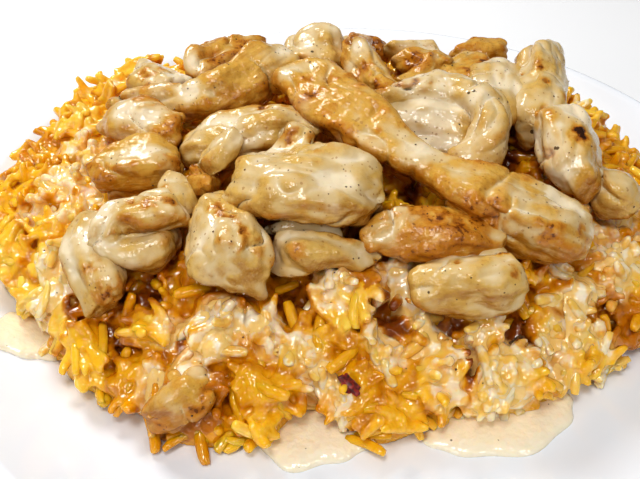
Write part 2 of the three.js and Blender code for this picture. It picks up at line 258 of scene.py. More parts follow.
def glazed_porcelain():
    """White glaze with a faint uneven flow, and bare biscuit on the lowest half millimetre."""
    finish = Finish("glazed_porcelain")
    where = finish.place()
    flow = finish.noise(where, 28 * MM, 1.0)
    height = finish.add("ShaderNodeSeparateXYZ", {}, {"Vector": where}, "Z")
    bare = 1 - height.between(0.2 * MM, 0.7 * MM)
    grit = finish.noise(where, 0.4 * MM, 2.0)
    white = finish.blend(flow, colour(238, 242, 248), colour(244, 247, 252))
    biscuit = finish.blend(grit, colour(214, 208, 196), colour(232, 228, 219))
    relief = flow * (1 - bare) * 0.3 + grit * bare * 0.15
    return finish.paint(
        Base_Color=finish.blend(bare, white, biscuit),
        Roughness=0.09 + flow * 0.05 + bare * 0.6,
        Coat_Weight=0.5 - bare * 0.5,
        Coat_Roughness=0.04,
        Normal=finish.bump(relief, 0.25),
    )


profile = plate_profile()
plate_angle = np.linspace(0, FULL_TURN, PLATE_SIDES, endpoint=False)
plate_rings = np.stack(
    [
        profile[:, :1] * np.cos(plate_angle),
        profile[:, :1] * np.sin(plate_angle),
        profile[:, 1:] + 0 * plate_angle,
    ],
    -1,
)
plate_shell = closed_shell(plate_rings, [0, 0, profile[0, 1]], [0, 0, profile[-1, 1]])
serve(new_mesh("glazed_plate", *plate_shell), glazed_porcelain(), "white_glaze", ["plate"])


# ---- The rice ----
# A low heap of long-grain rice cooked with saffron and oil, spooned onto the plate. The
# grains stick together in clumps packed over a firm core, which is made in six parts side by
# side, with single grains lying loose on top and in small groups round its foot.

HEAP_X = -6.0
HEAP_Y = 9.0
HEAP_HALF_LENGTH = 91.0
HEAP_HALF_DEPTH = 71.0
HEAP_RISE = 31.5
HEAP_EDGE = 3.0
FRONT_POWER = 2.0
BACK_POWER = 2.35
SPOKE_BEARING = -0.8
GOLDEN_ANGLE = np.pi * (3 - 5**0.5)

# The core and its parts, and the clumps that show in the face.
CORE_DEPTH = 3.5
CORE_SIDES = 264
CORE_RINGS = 90
CORE_SQUARE = 0.6
WEDGE_STEPS = 12
RICE_PARTS = ("right", "back_right", "back_left", "left", "front_left", "front_right")
CLUMPS = 120
CLUMP_RISE = 1.7
CLUMP_STEP = 1.9
SEAM_WIDTH = 5.0

# One grain: its usual size, the least and the most as shares of that, and its shape.
GRAIN_LENGTH = 9.4
GRAIN_WIDTH = 2.75
LENGTH_RANGE = (0.78, 1.12)
WIDTH_RANGE = (0.82, 1.12)
GRAIN_BEND = 0.7
GRAIN_TAPER = 0.3
GRAIN_FLATNESS = 0.84
GRAIN_RINGS = 5
GRAIN_SIDES = 8

# Grains over the heap and in groups at its foot, and how near they come to what is round them.
GRAINS_REACH = 0.972
FOOT_GROUPS = 80
FOOT_INSET = 5.0
FOOT_SPREAD = 1.3
FOOT_LIFT = 1.3
FOOT_STEP = 3.1
GRAIN_SINK = 0.4
SHADE_REACH = 3.5
CLEARANCE = 0.12

# How many points are measured against others at a time, and the margin round a slab of them.
SKIN_BATCH = 2000
SLAB_BATCH = 1500
SLAB_MARGIN = 8

# Bays in the heap's foot that the sauce has run into: bearing and half width in degrees, depth.
BAYS = [(205, 8, 7), (266, 7, 12), (299, 11, 6)]


def fading(away, width):
    """1 in the middle of something, falling off round it as exp(-(away / width)^2)."""
    return np.exp(-((away / width) ** 2))


def heap_reach(angle, share):
    """Distance from the heap's middle along a bearing, a share of the way out: the oval
    |x / length|^power + |y / depth|^power = 1, squarer at the back, plus two waves of small
    lobes, less the bays."""
    power = np.where(np.sin(angle) > 0, BACK_POWER, FRONT_POWER)
    across = np.abs(np.cos(angle) / HEAP_HALF_LENGTH) ** power
    along = np.abs(np.sin(angle) / HEAP_HALF_DEPTH) ** power
    smooth = (across + along) ** (-1 / power)
    lobes = 1.4 * np.sin(3 * angle + 1.2) + 1.1 * np.sin(11 * angle)
    bearing = np.degrees(angle) % 360
    bays = sum(depth * fading(bearing - middle, width) for middle, width, depth in BAYS)
    return share * (smooth + lobes) - share**6 * bays


def heap_point(angle, share):
    """A point of the heap's face: the crown's height falls to the foot's as
    (1 - share^power)^0.8, rounder at the back, with two sizes of broad lumps added."""
    reach = heap_reach(angle, share)
    foot_reach = heap_reach(angle, 1.0)
    foot_radius = np.hypot(HEAP_X + foot_reach * np.cos(angle), HEAP_Y + foot_reach * np.sin(angle))
    foot = floor_height(foot_radius) + HEAP_EDGE
    x = HEAP_X + reach * np.cos(angle)
    y = HEAP_Y + reach * np.sin(angle)
    power = 2.7 + 0.9 * np.maximum(0, np.sin(angle))
    fall = np.maximum(0, 1 - share**power) ** 0.8
    broad = np.sin(x * 0.16 + 1) * np.cos(y * 0.19 - 0.4)
    fine = np.sin(x * 0.41 - y * 0.23) * np.cos(y * 0.37 + x * 0.12)
    lumps = (0.9 * broad + 0.8 * fine) * (1 - share**6)
    return np.stack([x, y, foot + (WELL_FLOOR + HEAP_RISE - foot) * fall + lumps], -1)


def unit(vectors):
    """Vectors brought to a length of 1."""
    return vectors / np.linalg.norm(vectors, axis=-1, keepdims=True)


def heap_frame(angle, share):
    """A point of the face, its outward normal, and the directions round and down the heap."""
    step = 2e-3
    inner = np.clip(share, 3 * step, 1 - step)
    around = unit(heap_point(angle + step, inner) - heap_point(angle - step, inner))
    down = unit(heap_point(angle, inner + step) - heap_point(angle, inner - step))
    normal = unit(np.cross(down, around))
    return heap_point(angle, share), normal, around, np.cross(around, normal)


def over_heap(count, draws):
    """Bearings and shares spread evenly over the face: a sunflower layout whose shares follow
    the area of the face as it is along one spoke, shaken a little."""
    shares = np.linspace(0, 1, 200)
    reach = heap_reach(SPOKE_BEARING, shares)
    height = heap_point(SPOKE_BEARING, shares)[:, 2]
    strip = np.hypot(np.diff(reach), np.diff(height)) * (reach[1:] + reach[:-1])
    area = np.concatenate([[0], np.cumsum(strip)])
    seed = (np.arange(count) + 0.5 + draws.uniform(-0.5, 0.5, count)) / count
    share = np.interp(seed * area[-1], area, shares)
    turn = np.arange(count) * GOLDEN_ANGLE + draws.normal(0, 0.02, count)
    angle = np.arctan2(HEAP_HALF_DEPTH * np.sin(turn), HEAP_HALF_LENGTH * np.cos(turn))
    return angle, share


draws = np.random.default_rng(7)
clump_angle, clump_share = over_heap(CLUMPS, draws)
clump_angle += draws.normal(0, 0.09, CLUMPS)
clump_share = np.clip(clump_share + draws.normal(0, 0.035, CLUMPS), 0.03, 0.97)
clump_middle = heap_point(clump_angle, clump_share)
clump_rise = draws.normal(0, CLUMP_STEP, CLUMPS)
clump_lay = draws.uniform(0, np.pi, CLUMPS)
clump_fan = draws.normal(0, 0.07, CLUMPS)
clump_tone = draws.normal(0, 0.4, CLUMPS)


def squared_gaps(points, others):
    """Squared distance of every point from every other one: |a|^2 + |b|^2 - 2ab."""
    return (points**2).sum(-1)[:, None] + (others**2).sum(-1) - 2 * points @ others.T


def nearest_two(points, middles):
    """For each point the nearest middle's number, its distance, and the next one's."""
    squared = squared_gaps(points, middles)
    order = np.argpartition(squared, 1, axis=1)[:, :2]
    pair = np.sqrt(np.maximum(0, np.take_along_axis(squared, order, 1)))
    first = pair.argmin(1)
    rows = np.arange(len(points))
    return order[rows, first], pair[rows, first], pair[rows, 1 - first]


# Hollows in the heap, mostly under the edge of the chicken: x, y, width and depth.
HOLLOWS = [
    (-18, -35, 3, 5), (-48, -27, 3.5, 4), (10, -6, 4, 4), (37, 12, 4, 4), (-2, 8, 4, 4),
    (20, -38, 3.5, 6), (6, -38, 3.5, 5), (-7, -36, 3, 4), (-55, -37, 4, 5), (-48, -30, 4, 5),
    (34, -37, 3, 5), (-40, -42, 2.5, 3), (23, -47, 1.8, 5), (-14, -34, 3, 3), (35, 6, 5, 3),
    (46, -30, 3, 4), (-66, -30, 3, 3), (-24, 30, 5, 4), (8, -6, 4, 4),
]


def rise_between(low, high, value):
    """0 below low, 1 above high, and 3t^2 - 2t^3 between them."""
    way = np.clip((value - low) / (high - low), 0, 1)
    return way * way * (3 - 2 * way)


def clump_relief(points):
    """Rise of the rice at each point, and its clump: level on each clump, each clump at its
    own height, down to a seam where two are equally near, less a soft dip at each hollow."""
    clump, near, far = nearest_two(points, clump_middle)
    x, y, width, depth = np.array(HOLLOWS, float).T
    away = np.hypot(points[:, :1] - x, points[:, 1:2] - y)
    dip = (depth * fading(away, width)).sum(1)
    inside = rise_between(0, SEAM_WIDTH, far - near)
    return CLUMP_RISE * (2.2 * inside - 1.7) + clump_rise[clump] * inside - dip, clump


def lay_grains(middle, normal, around, lay, tilt, draws):
    """Points of grains as (grain, ring, side, axis): blunt rods with four long ridges, bent a
    little, lying in the face at the angle lay from the way round it, one end lifted by tilt."""
    count = len(middle)
    down = np.cross(around, normal)
    level = np.cos(lay)[:, None] * around + np.sin(lay)[:, None] * down
    along = np.cos(tilt)[:, None] * level + np.sin(tilt)[:, None] * normal
    across = unit(np.cross(along, normal))
    upward = np.cross(across, along)
    each = (count, 1, 1, 1)
    length = GRAIN_LENGTH * draws.uniform(*LENGTH_RANGE, each)
    width = GRAIN_WIDTH * draws.uniform(*WIDTH_RANGE, each)
    bend = draws.normal(0, GRAIN_BEND, each)
    taper = draws.uniform(-GRAIN_TAPER, GRAIN_TAPER, each)
    way = np.array([-0.5, -0.475, -0.32, 0, 0.32, 0.475, 0.5])[:, None, None]
    fullness = np.array([0, 0.7, 0.96, 1, 0.96, 0.7, 0])[:, None, None]
    turn = np.linspace(0, FULL_TURN, GRAIN_SIDES, endpoint=False)[:, None]
    ridge = np.where(np.arange(GRAIN_SIDES) % 2 == 0, 1.0, 0.9)[:, None]
    radius = 0.5 * width * fullness * (1 + taper * way) * ridge
    sideways = radius * np.cos(turn) + bend * (4 * way * way - 0.5)
    rise = GRAIN_FLATNESS * radius * np.sin(turn)
    start, ahead, aside, over = [axis[:, None, None] for axis in (middle, along, across, upward)]
    return start + way * length * ahead + sideways * aside + rise * over


def grain_mesh(name, points):
    """One mesh of many grains, each a band of rings closed by a point at both ends."""
    count = len(points)
    poles = points[:, [0, -1], 0]
    body = points[:, 1:-1].reshape(count, -1, 3)
    shells = np.concatenate([poles[:, :1], body, poles[:, 1:]], 1)
    quads, triangles = closed_faces(GRAIN_RINGS, GRAIN_SIDES)
    first = np.arange(count)[:, None, None] * shells.shape[1]
    every_quad = (quads + first).reshape(-1, 4)
    every_triangle = (triangles + first).reshape(-1, 3)
    return new_mesh(name, shells.reshape(-1, 3), every_quad, every_triangle)


def per_point(values):
    """A value for each grain as one for each of its points."""
    return np.repeat(values, GRAIN_RINGS * GRAIN_SIDES + 2)


def joined(rows):
    """Rows of like arrays as one array for each column."""
    return [np.concatenate(column) for column in zip(*rows)]


def chicken_skins():
    """Middles and outward normals of the faces of all the chicken's solids, in millimetres."""
    skins = []
    for name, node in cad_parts.items():
        if name.startswith("chicken"):
            faces = node.data.polygons
            middle = np.zeros(len(faces) * 3)
            normal = np.zeros(len(faces) * 3)
            faces.foreach_get("center", middle)
            faces.foreach_get("normal", normal)
            skins.append((middle.reshape(-1, 3) / MM, normal.reshape(-1, 3)))
    return joined(skins)


def middle_lines(grains):
    """The points down the middle line of every grain, one for each of its rings."""
    return grains.mean(2)[:, 1:-1].reshape(-1, 3)


def depth_in_chicken(points):
    """How far each point is inside the nearest face of the chicken, negative outside it."""
    middles, normals = chicken_skins()
    batches = np.array_split(points, 1 + len(points) // SKIN_BATCH)
    nearest = np.concatenate([squared_gaps(batch, middles).argmin(1) for batch in batches])
    return ((middles[nearest] - points) * normals[nearest]).sum(-1)


def rice_layer(count, low, high, tilt, draws):
    """Grains laid all over the heap between two heights above its face. They follow the lay
    and fan of their clump, and those that would stand in the chicken are left out."""
    angle, share = over_heap(count, draws)
    middle, normal, around, _ = heap_frame(angle, GRAINS_REACH * share)
    relief, clump = clump_relief(middle)
    lift = relief + draws.uniform(low, high, count)
    off_clump = ((middle - clump_middle[clump]) * around).sum(-1)
    lay = clump_lay[clump] + clump_fan[clump] * off_clump + draws.normal(0, 0.4, count)
    middle = middle + normal * lift[:, None]
    lift_end = draws.normal(0, tilt, count)
    points = lay_grains(middle, normal, around, lay, lift_end, draws)
    # Tone: random by clump and grain, with painted shade lowering it in the seams between clumps.
    tone = clump_tone[clump] + draws.normal(0, 0.35, count) + 0.15 * relief
    tone += 0.4 * rise_between(-40, -70, middle[:, 0])
    return points, tone


def foot_fringe(count, draws):
    """Grains in small groups round the foot of the heap, lying against it at any height up to
    a low step, and flat on the plate where they are pushed out past its outline."""
    group = draws.uniform(0, FULL_TURN, FOOT_GROUPS)
    angle = group[draws.integers(0, FOOT_GROUPS, count)] + draws.normal(0, 0.03, count)
    outside = draws.normal(-FOOT_INSET, FOOT_SPREAD, count)
    reach = heap_reach(angle, 1.0) + outside
    x = HEAP_X + reach * np.cos(angle)
    y = HEAP_Y + reach * np.sin(angle)
    z = floor_height(np.hypot(x, y)) + FOOT_LIFT
    z += draws.uniform(0, FOOT_STEP, count) * np.clip(-outside / 4, 0, 1)
    up = np.tile([0.0, 0.0, 1.0], (count, 1))
    around = np.stack([-np.sin(angle), np.cos(angle), 0 * angle], -1)
    lay = draws.uniform(0, np.pi, count)
    middle = np.stack([x, y, z], -1)
    points = lay_grains(middle, up, around, lay, draws.normal(0, 0.2, count), draws)
    return points, draws.normal(0.1, 0.4, count)


def floor_under(points):
    """Height of the plate's eating surface under each point."""
    return floor_height(np.hypot(points[..., 0], points[..., 1]))


def keep_clear(points, tone):
    """Lifts grains off the plate, drops those that would stand in the chicken, and paints shade
    on those close under it. Returns the grains, their tone and how far they lie in its shade."""
    lowest = floor_under(points) + CLEARANCE - points[..., 2]
    points[..., 2] += np.maximum(0, lowest.max((1, 2)))[:, None, None]
    axis = points.mean(2)[:, 1:-1:2]
    depth = depth_in_chicken(axis.reshape(-1, 3)).reshape(len(points), -1)
    nearest = depth.max(1)
    kept = nearest < GRAIN_SINK
    shade = fading(np.minimum(0, nearest), SHADE_REACH)
    return points[kept], (tone - 1.1 * shade)[kept], shade[kept]


# Layers of grains: how many, the lowest and highest they lie over the face, and how steeply
# they stand.
PACKED_LAYERS = [(1500, -2.8, -1.4, 0.3), (2700, -2.4, 1.1, 0.7), (520, -0.6, 1.1, 0.6)]
LOOSE_LAYER = (430, -0.2, 1.3, 0.4)
FOOT_GRAINS = 260

packed_layers = [keep_clear(*rice_layer(*layer, draws)) for layer in PACKED_LAYERS]
top_rice = keep_clear(*rice_layer(*LOOSE_LAYER, draws))
foot_rice = keep_clear(*foot_fringe(FOOT_GRAINS, draws))
packed_rice = joined(packed_layers)
loose_rice = joined([top_rice, foot_rice])


def fuse(shells, square, rounds=0):
    """Melts closed shells, each some rings of points with a pole at both ends, into one skin
    of even squares, smoothed a number of rounds. Returns its points and quads."""
    parts = []
    count = 0
    for shell in shells:
        points, quads, triangles = closed_shell(*shell)
        parts.append((points, quads + count, triangles + count))
        count += len(points)
    mesh = new_mesh("melting", *joined(parts))
    piece = bpy.data.objects.new("melting", mesh)
    bpy.context.scene.collection.objects.link(piece)
    melt = piece.modifiers.new("melt", "REMESH")
    melt.mode = "VOXEL"
    melt.voxel_size = square * MM
    if rounds:
        soften = piece.modifiers.new("soften", "SMOOTH")
        soften.factor = 0.5
        soften.iterations = rounds
    melted = piece.evaluated_get(bpy.context.evaluated_depsgraph_get()).to_mesh()
    fused = np.zeros(len(melted.vertices) * 3, np.float32)
    corners = np.zeros(len(melted.loops), np.int32)
    melted.vertices.foreach_get("co", fused)
    melted.loops.foreach_get("vertex_index", corners)
    bpy.data.objects.remove(piece)
    bpy.data.meshes.remove(mesh)
    return fused.reshape(-1, 3).astype(float) / MM, corners.reshape(-1, 4)


SLOPES = unit(np.random.default_rng(3).normal(size=(256, 3)))


def cloud(points, seed=0):
    """Smooth noise, about -1 to 1 with lumps one unit across: a random slope at each whole
    point of a lattice, blended between the eight corners by 6t^5 - 15t^4 + 10t^3."""
    cell = np.floor(points).astype(np.int64)
    part = points - cell
    fade = part**3 * (part * (part * 6 - 15) + 10)
    total = np.zeros(points.shape[:-1])
    for corner in np.ndindex(2, 2, 2):
        x, y, z = np.moveaxis(cell + corner, -1, 0)
        key = x * 73856093 ^ y * 19349663 ^ z * 83492791 ^ (seed + 1) * 2654435761
        key = (key ^ (key >> 15)) * 668265263
        key = (key ^ (key >> 13)) & 255
        weight = np.where(np.array(corner) == 1, fade, 1 - fade).prod(-1)
        total += weight * ((part - corner) * SLOPES[key]).sum(-1)
    return 1.7 * total


# Where the sauce has run over the rice: x, y and width of each patch.
SAUCE_RUNS = {
    "left": [
        (-75, 6, 8), (-66, -1, 7), (-81, 0, 6), (-70, -4, 7), (-69, 14, 7), (-74, 20, 6),
        (-68, -25, 8), (-74, -26, 7), (-71, -19, 7), (-78, -30, 6),
    ],
    "front": [
        (-31, -41, 7), (-21, -42, 6), (-47, -49, 5), (-38, -48, 6), (-42, -40, 6),
        (-10, -50, 5), (-6, -53, 4), (-14, -46, 5), (-10, -34, 7), (4, -44, 6),
        (8, -32, 8), (15, -40, 8), (17, -50, 5), (9, -28, 7), (23, -43, 7),
    ],
    "right": [
        (47, -32, 9), (42, -40, 7), (33, -41, 8), (27, -51, 7), (31, -48, 7), (54, -34, 5),
        (59, -16, 9), (57, -12, 8), (50, -26, 8), (60, -24, 6), (64, -1, 9),
    ],
    "back": [
        (20, 62, 9), (-30, 66, 8), (-62, 48, 8), (58, 42, 8), (-2, 70, 7), (36, 55, 6),
    ],
}


def sauced_share(points, runs):
    """How much of the sauce lies at each point: soft discs over the runs, frayed by noise and
    open over the deep gaps between clumps."""
    relief = clump_relief(points.reshape(-1, 3))[0].reshape(points.shape[:-1])
    spread = np.zeros(points.shape[:-1])
    for x, y, width in runs:
        away = np.hypot(points[..., 0] - x, points[..., 1] - y)
        spread = np.maximum(spread, fading(away, width))
    frayed = spread + 0.28 * cloud(points / 6, 21) + 0.12 * cloud(points / 2.4, 22)
    frayed = frayed - 0.5 * rise_between(-1.5, -4.5, relief) - 0.5 * rise_between(-4, -6, relief)
    return rise_between(0.3, 0.62, frayed)


def nearest_of(points, others):
    """For each point the nearest of many others and its distance, in thin slabs along x, each
    compared only with the others that lie within a margin of it."""
    number = np.zeros(len(points), int)
    distance = np.zeros(len(points))
    order = points[:, 0].argsort()
    for slab in np.array_split(order, 1 + len(points) // SLAB_BATCH):
        low, high = points[slab[[0, -1]], 0] + (-SLAB_MARGIN, SLAB_MARGIN)
        close = np.flatnonzero((others[:, 0] > low) & (others[:, 0] < high))
        squared = squared_gaps(points[slab], others[close])
        nearest = squared.argmin(1)
        number[slab] = close[nearest]
        distance[slab] = np.sqrt(np.maximum(0, squared[np.arange(len(slab)), nearest]))
    return number, distance


def gap_shade(points, off_grain=0):
    """Painted shade: 1 deep in the gaps between clumps, more in the hollows under the chicken,
    less in the creases at some distance from a grain's middle line, and 0 on the grains on top."""
    relief = clump_relief(points)[0]
    deep = rise_between(-0.8, -3.8, relief) + 0.6 * rise_between(-3.0, -6.0, relief)
    return np.clip(deep + 0.45 * rise_between(1.15, 2.1, off_grain), 0, 1.6)


def saffron_rice():
    """Oily translucent grains from deep orange to pale gold, with painted shade in amber and
    brown down in the gaps and under the chicken, and streaked with cream where the sauce ran."""
    finish = Finish("saffron_rice")
    where = finish.place()
    tone = finish.field("tone")
    cream = finish.field("cream")
    gap = finish.field("gap")
    mottle = finish.noise(where, 2.2 * MM, 2.0)
    streak = finish.noise(where, 3.2 * MM, 2.0)
    # The tone field also carries painted shade from the seams and from under the chicken.
    warm = tone * 0.5 + mottle * 0.8 - 0.2
    dark = finish.blend(warm.between(-1.4, -0.4), colour(206, 136, 2), colour(232, 168, 14))
    deep = finish.blend(warm.between(-0.6, 0.3), dark, colour(242, 186, 36))
    pale = finish.blend(warm.between(0.1, 1.2), deep, colour(250, 212, 96))
    # Painted shade: amber, then brown, then dark brown as the gap shade deepens in the seams, the
    # hollows and under the chicken.
    mottled_gap_shade = gap + (mottle - 0.5) * 0.9
    amber_shade = finish.blend(mottled_gap_shade.between(0.0, 0.6) * 0.65, pale, colour(222, 154, 2))
    shaded = finish.blend(mottled_gap_shade.between(0.4, 1.1) * 0.75, amber_shade, colour(184, 104, 0))
    shaded = finish.blend(gap.between(1.0, 1.6) * 0.85, shaded, colour(112, 44, 0))
    thin = (cream + (streak - 0.5) * 1.2).between(0.2, 0.9)
    thick = (cream + (streak - 0.5) * 1.8).between(0.85, 1.2)
    coated = finish.blend(thin * 0.45, shaded, colour(246, 206, 134))
    coated = finish.blend(thick * 0.72, coated, colour(250, 234, 208))
    speck = finish.noise(where, 1.6 * MM, 1.0)
    return finish.paint(
        Base_Color=coated,
        Roughness=0.05 + speck * 0.06 + gap * 0.1,
        Specular_IOR_Level=0.75,
        Subsurface_Weight=0.5,
        Subsurface_Radius=(1.0, 0.66, 0.16),
        Subsurface_Scale=2.2 * MM,
        Normal=finish.bump(speck, 0.34),
    )


every_run = sum(SAUCE_RUNS.values(), [])
rice_finish = saffron_rice()
core_share = np.linspace(0.02, 1, CORE_RINGS) ** 0.8
core_angle = np.linspace(0, FULL_TURN, CORE_SIDES, endpoint=False)
ring_share, ring_angle = np.meshgrid(core_share, core_angle, indexing="ij")
core_points, core_normal, _, _ = heap_frame(ring_angle.ravel(), ring_share.ravel())
sunk = clump_relief(core_points)[0] - CORE_DEPTH
core_points += core_normal * sunk[:, None]
core_points[:, 2] = np.maximum(core_points[:, 2], floor_under(core_points) + 0.3)
base_ring = core_points[-CORE_SIDES:].copy()
base_ring[:, 2] = floor_under(base_ring) + 0.1
core_crown = np.array([HEAP_X, HEAP_Y, WELL_FLOOR + HEAP_RISE - CORE_DEPTH])
core_rings = np.concatenate([core_points.reshape(CORE_RINGS, CORE_SIDES, 3), base_ring[None]])


def core_wedge(start, stop):
    """The core between two of its spokes as a closed shell: that arc of every ring, then
    straight in to the heap's upright axis and out again."""
    arc = core_rings[:, np.arange(start, stop) % CORE_SIDES]
    axis = np.tile([HEAP_X, HEAP_Y, 0.0], (len(arc), 1, 1))
    axis[..., 2] = 0.5 * (arc[:, :1, 2] + arc[:, -1:, 2])
    way = np.linspace(0, 1, WEDGE_STEPS + 2)[1:-1, None]
    inward = arc[:, -1:] + way * (axis - arc[:, -1:])
    outward = axis + way * (arc[:, :1] - axis)
    rings = np.concatenate([arc, inward, axis, outward], 1)
    return rings, core_crown, rings[-1].mean(0)


rice_skins = []
spokes = CORE_SIDES // len(RICE_PARTS)
grain_offset = packed_rice[0].mean((1, 2)) - (HEAP_X, HEAP_Y, 0)
grain_bearing = np.arctan2(grain_offset[:, 1], grain_offset[:, 0]) % FULL_TURN
grain_part = (grain_bearing * len(RICE_PARTS) / FULL_TURN).astype(int)
for number, part in enumerate(RICE_PARTS):
    grains, tone, shade = [values[grain_part == number] for values in packed_rice]
    shells = [core_wedge(number * spokes - 1, (number + 1) * spokes + 2)]
    shells += zip(grains[:, 1:-1], grains[:, 0, 0], grains[:, -1, 0])
    points, quads = fuse(shells, CORE_SQUARE, rounds=1)
    nearest, off_grain = nearest_of(points, middle_lines(grains))
    mesh = new_mesh(f"packed_rice_{part}", points, quads)
    # The tone and gap fields carry painted shade: darker in the seams, the hollows and close under
    # the chicken.
    serve(
        mesh,
        rice_finish,
        "saffron_rice",
        ["rice_heap"],
        tone=tone[nearest // GRAIN_RINGS],
        cream=sauced_share(points, every_run),
        gap=np.maximum(gap_shade(points, off_grain), 1.2 * shade[nearest // GRAIN_RINGS]),
    )
    rice_skins.append((points, quads))

loose_middle = loose_rice[0].mean((1, 2))
# The loose grains carry the same painted shade, fainter, in their tone and gap fields.
serve(
    grain_mesh("loose_rice", loose_rice[0]),
    rice_finish,
    "saffron_rice",
    tone=per_point(loose_rice[1]),
    cream=per_point(sauced_share(loose_middle, every_run)),
    gap=per_point(np.maximum(0.45 * gap_shade(loose_middle), 0.8 * loose_rice[2])),
)


# ---- The chicken ----
# Strips and chunks of chicken breast, cut by hand across the grain, seared in a hot pan and
# tossed in the sauce. They lie over each other on the rice; a few are folded or curled over.

# One leg of a piece, and the skin that its legs are melted into.
LEG_RINGS = 48
LEG_SIDES = 40
FACETS = 6
FULLNESS = 1.07
END_LENGTH = 0.25
END_SKEW = 0.35
SKIN_SQUARE = 0.55

# Flat cuts: how many are drawn for a piece, and how deep, how much of what is past them they
# take off, and how softly. Then the spread of a spot, how flat it lies on the skin, the rounds
# of averaging that crests are measured from, and how far up a face that pepper lies on points.
SLICES = 14
SLICE_DEPTHS = (0.8, 3.6)
SLICE_SHARE = 0.85
SLICE_SOFTNESS = 0.25
SPOT_SPREAD = 1.35
SPOT_FLATNESS = 0.7
EVEN_ROUNDS = 16
UPWARD = 0.3

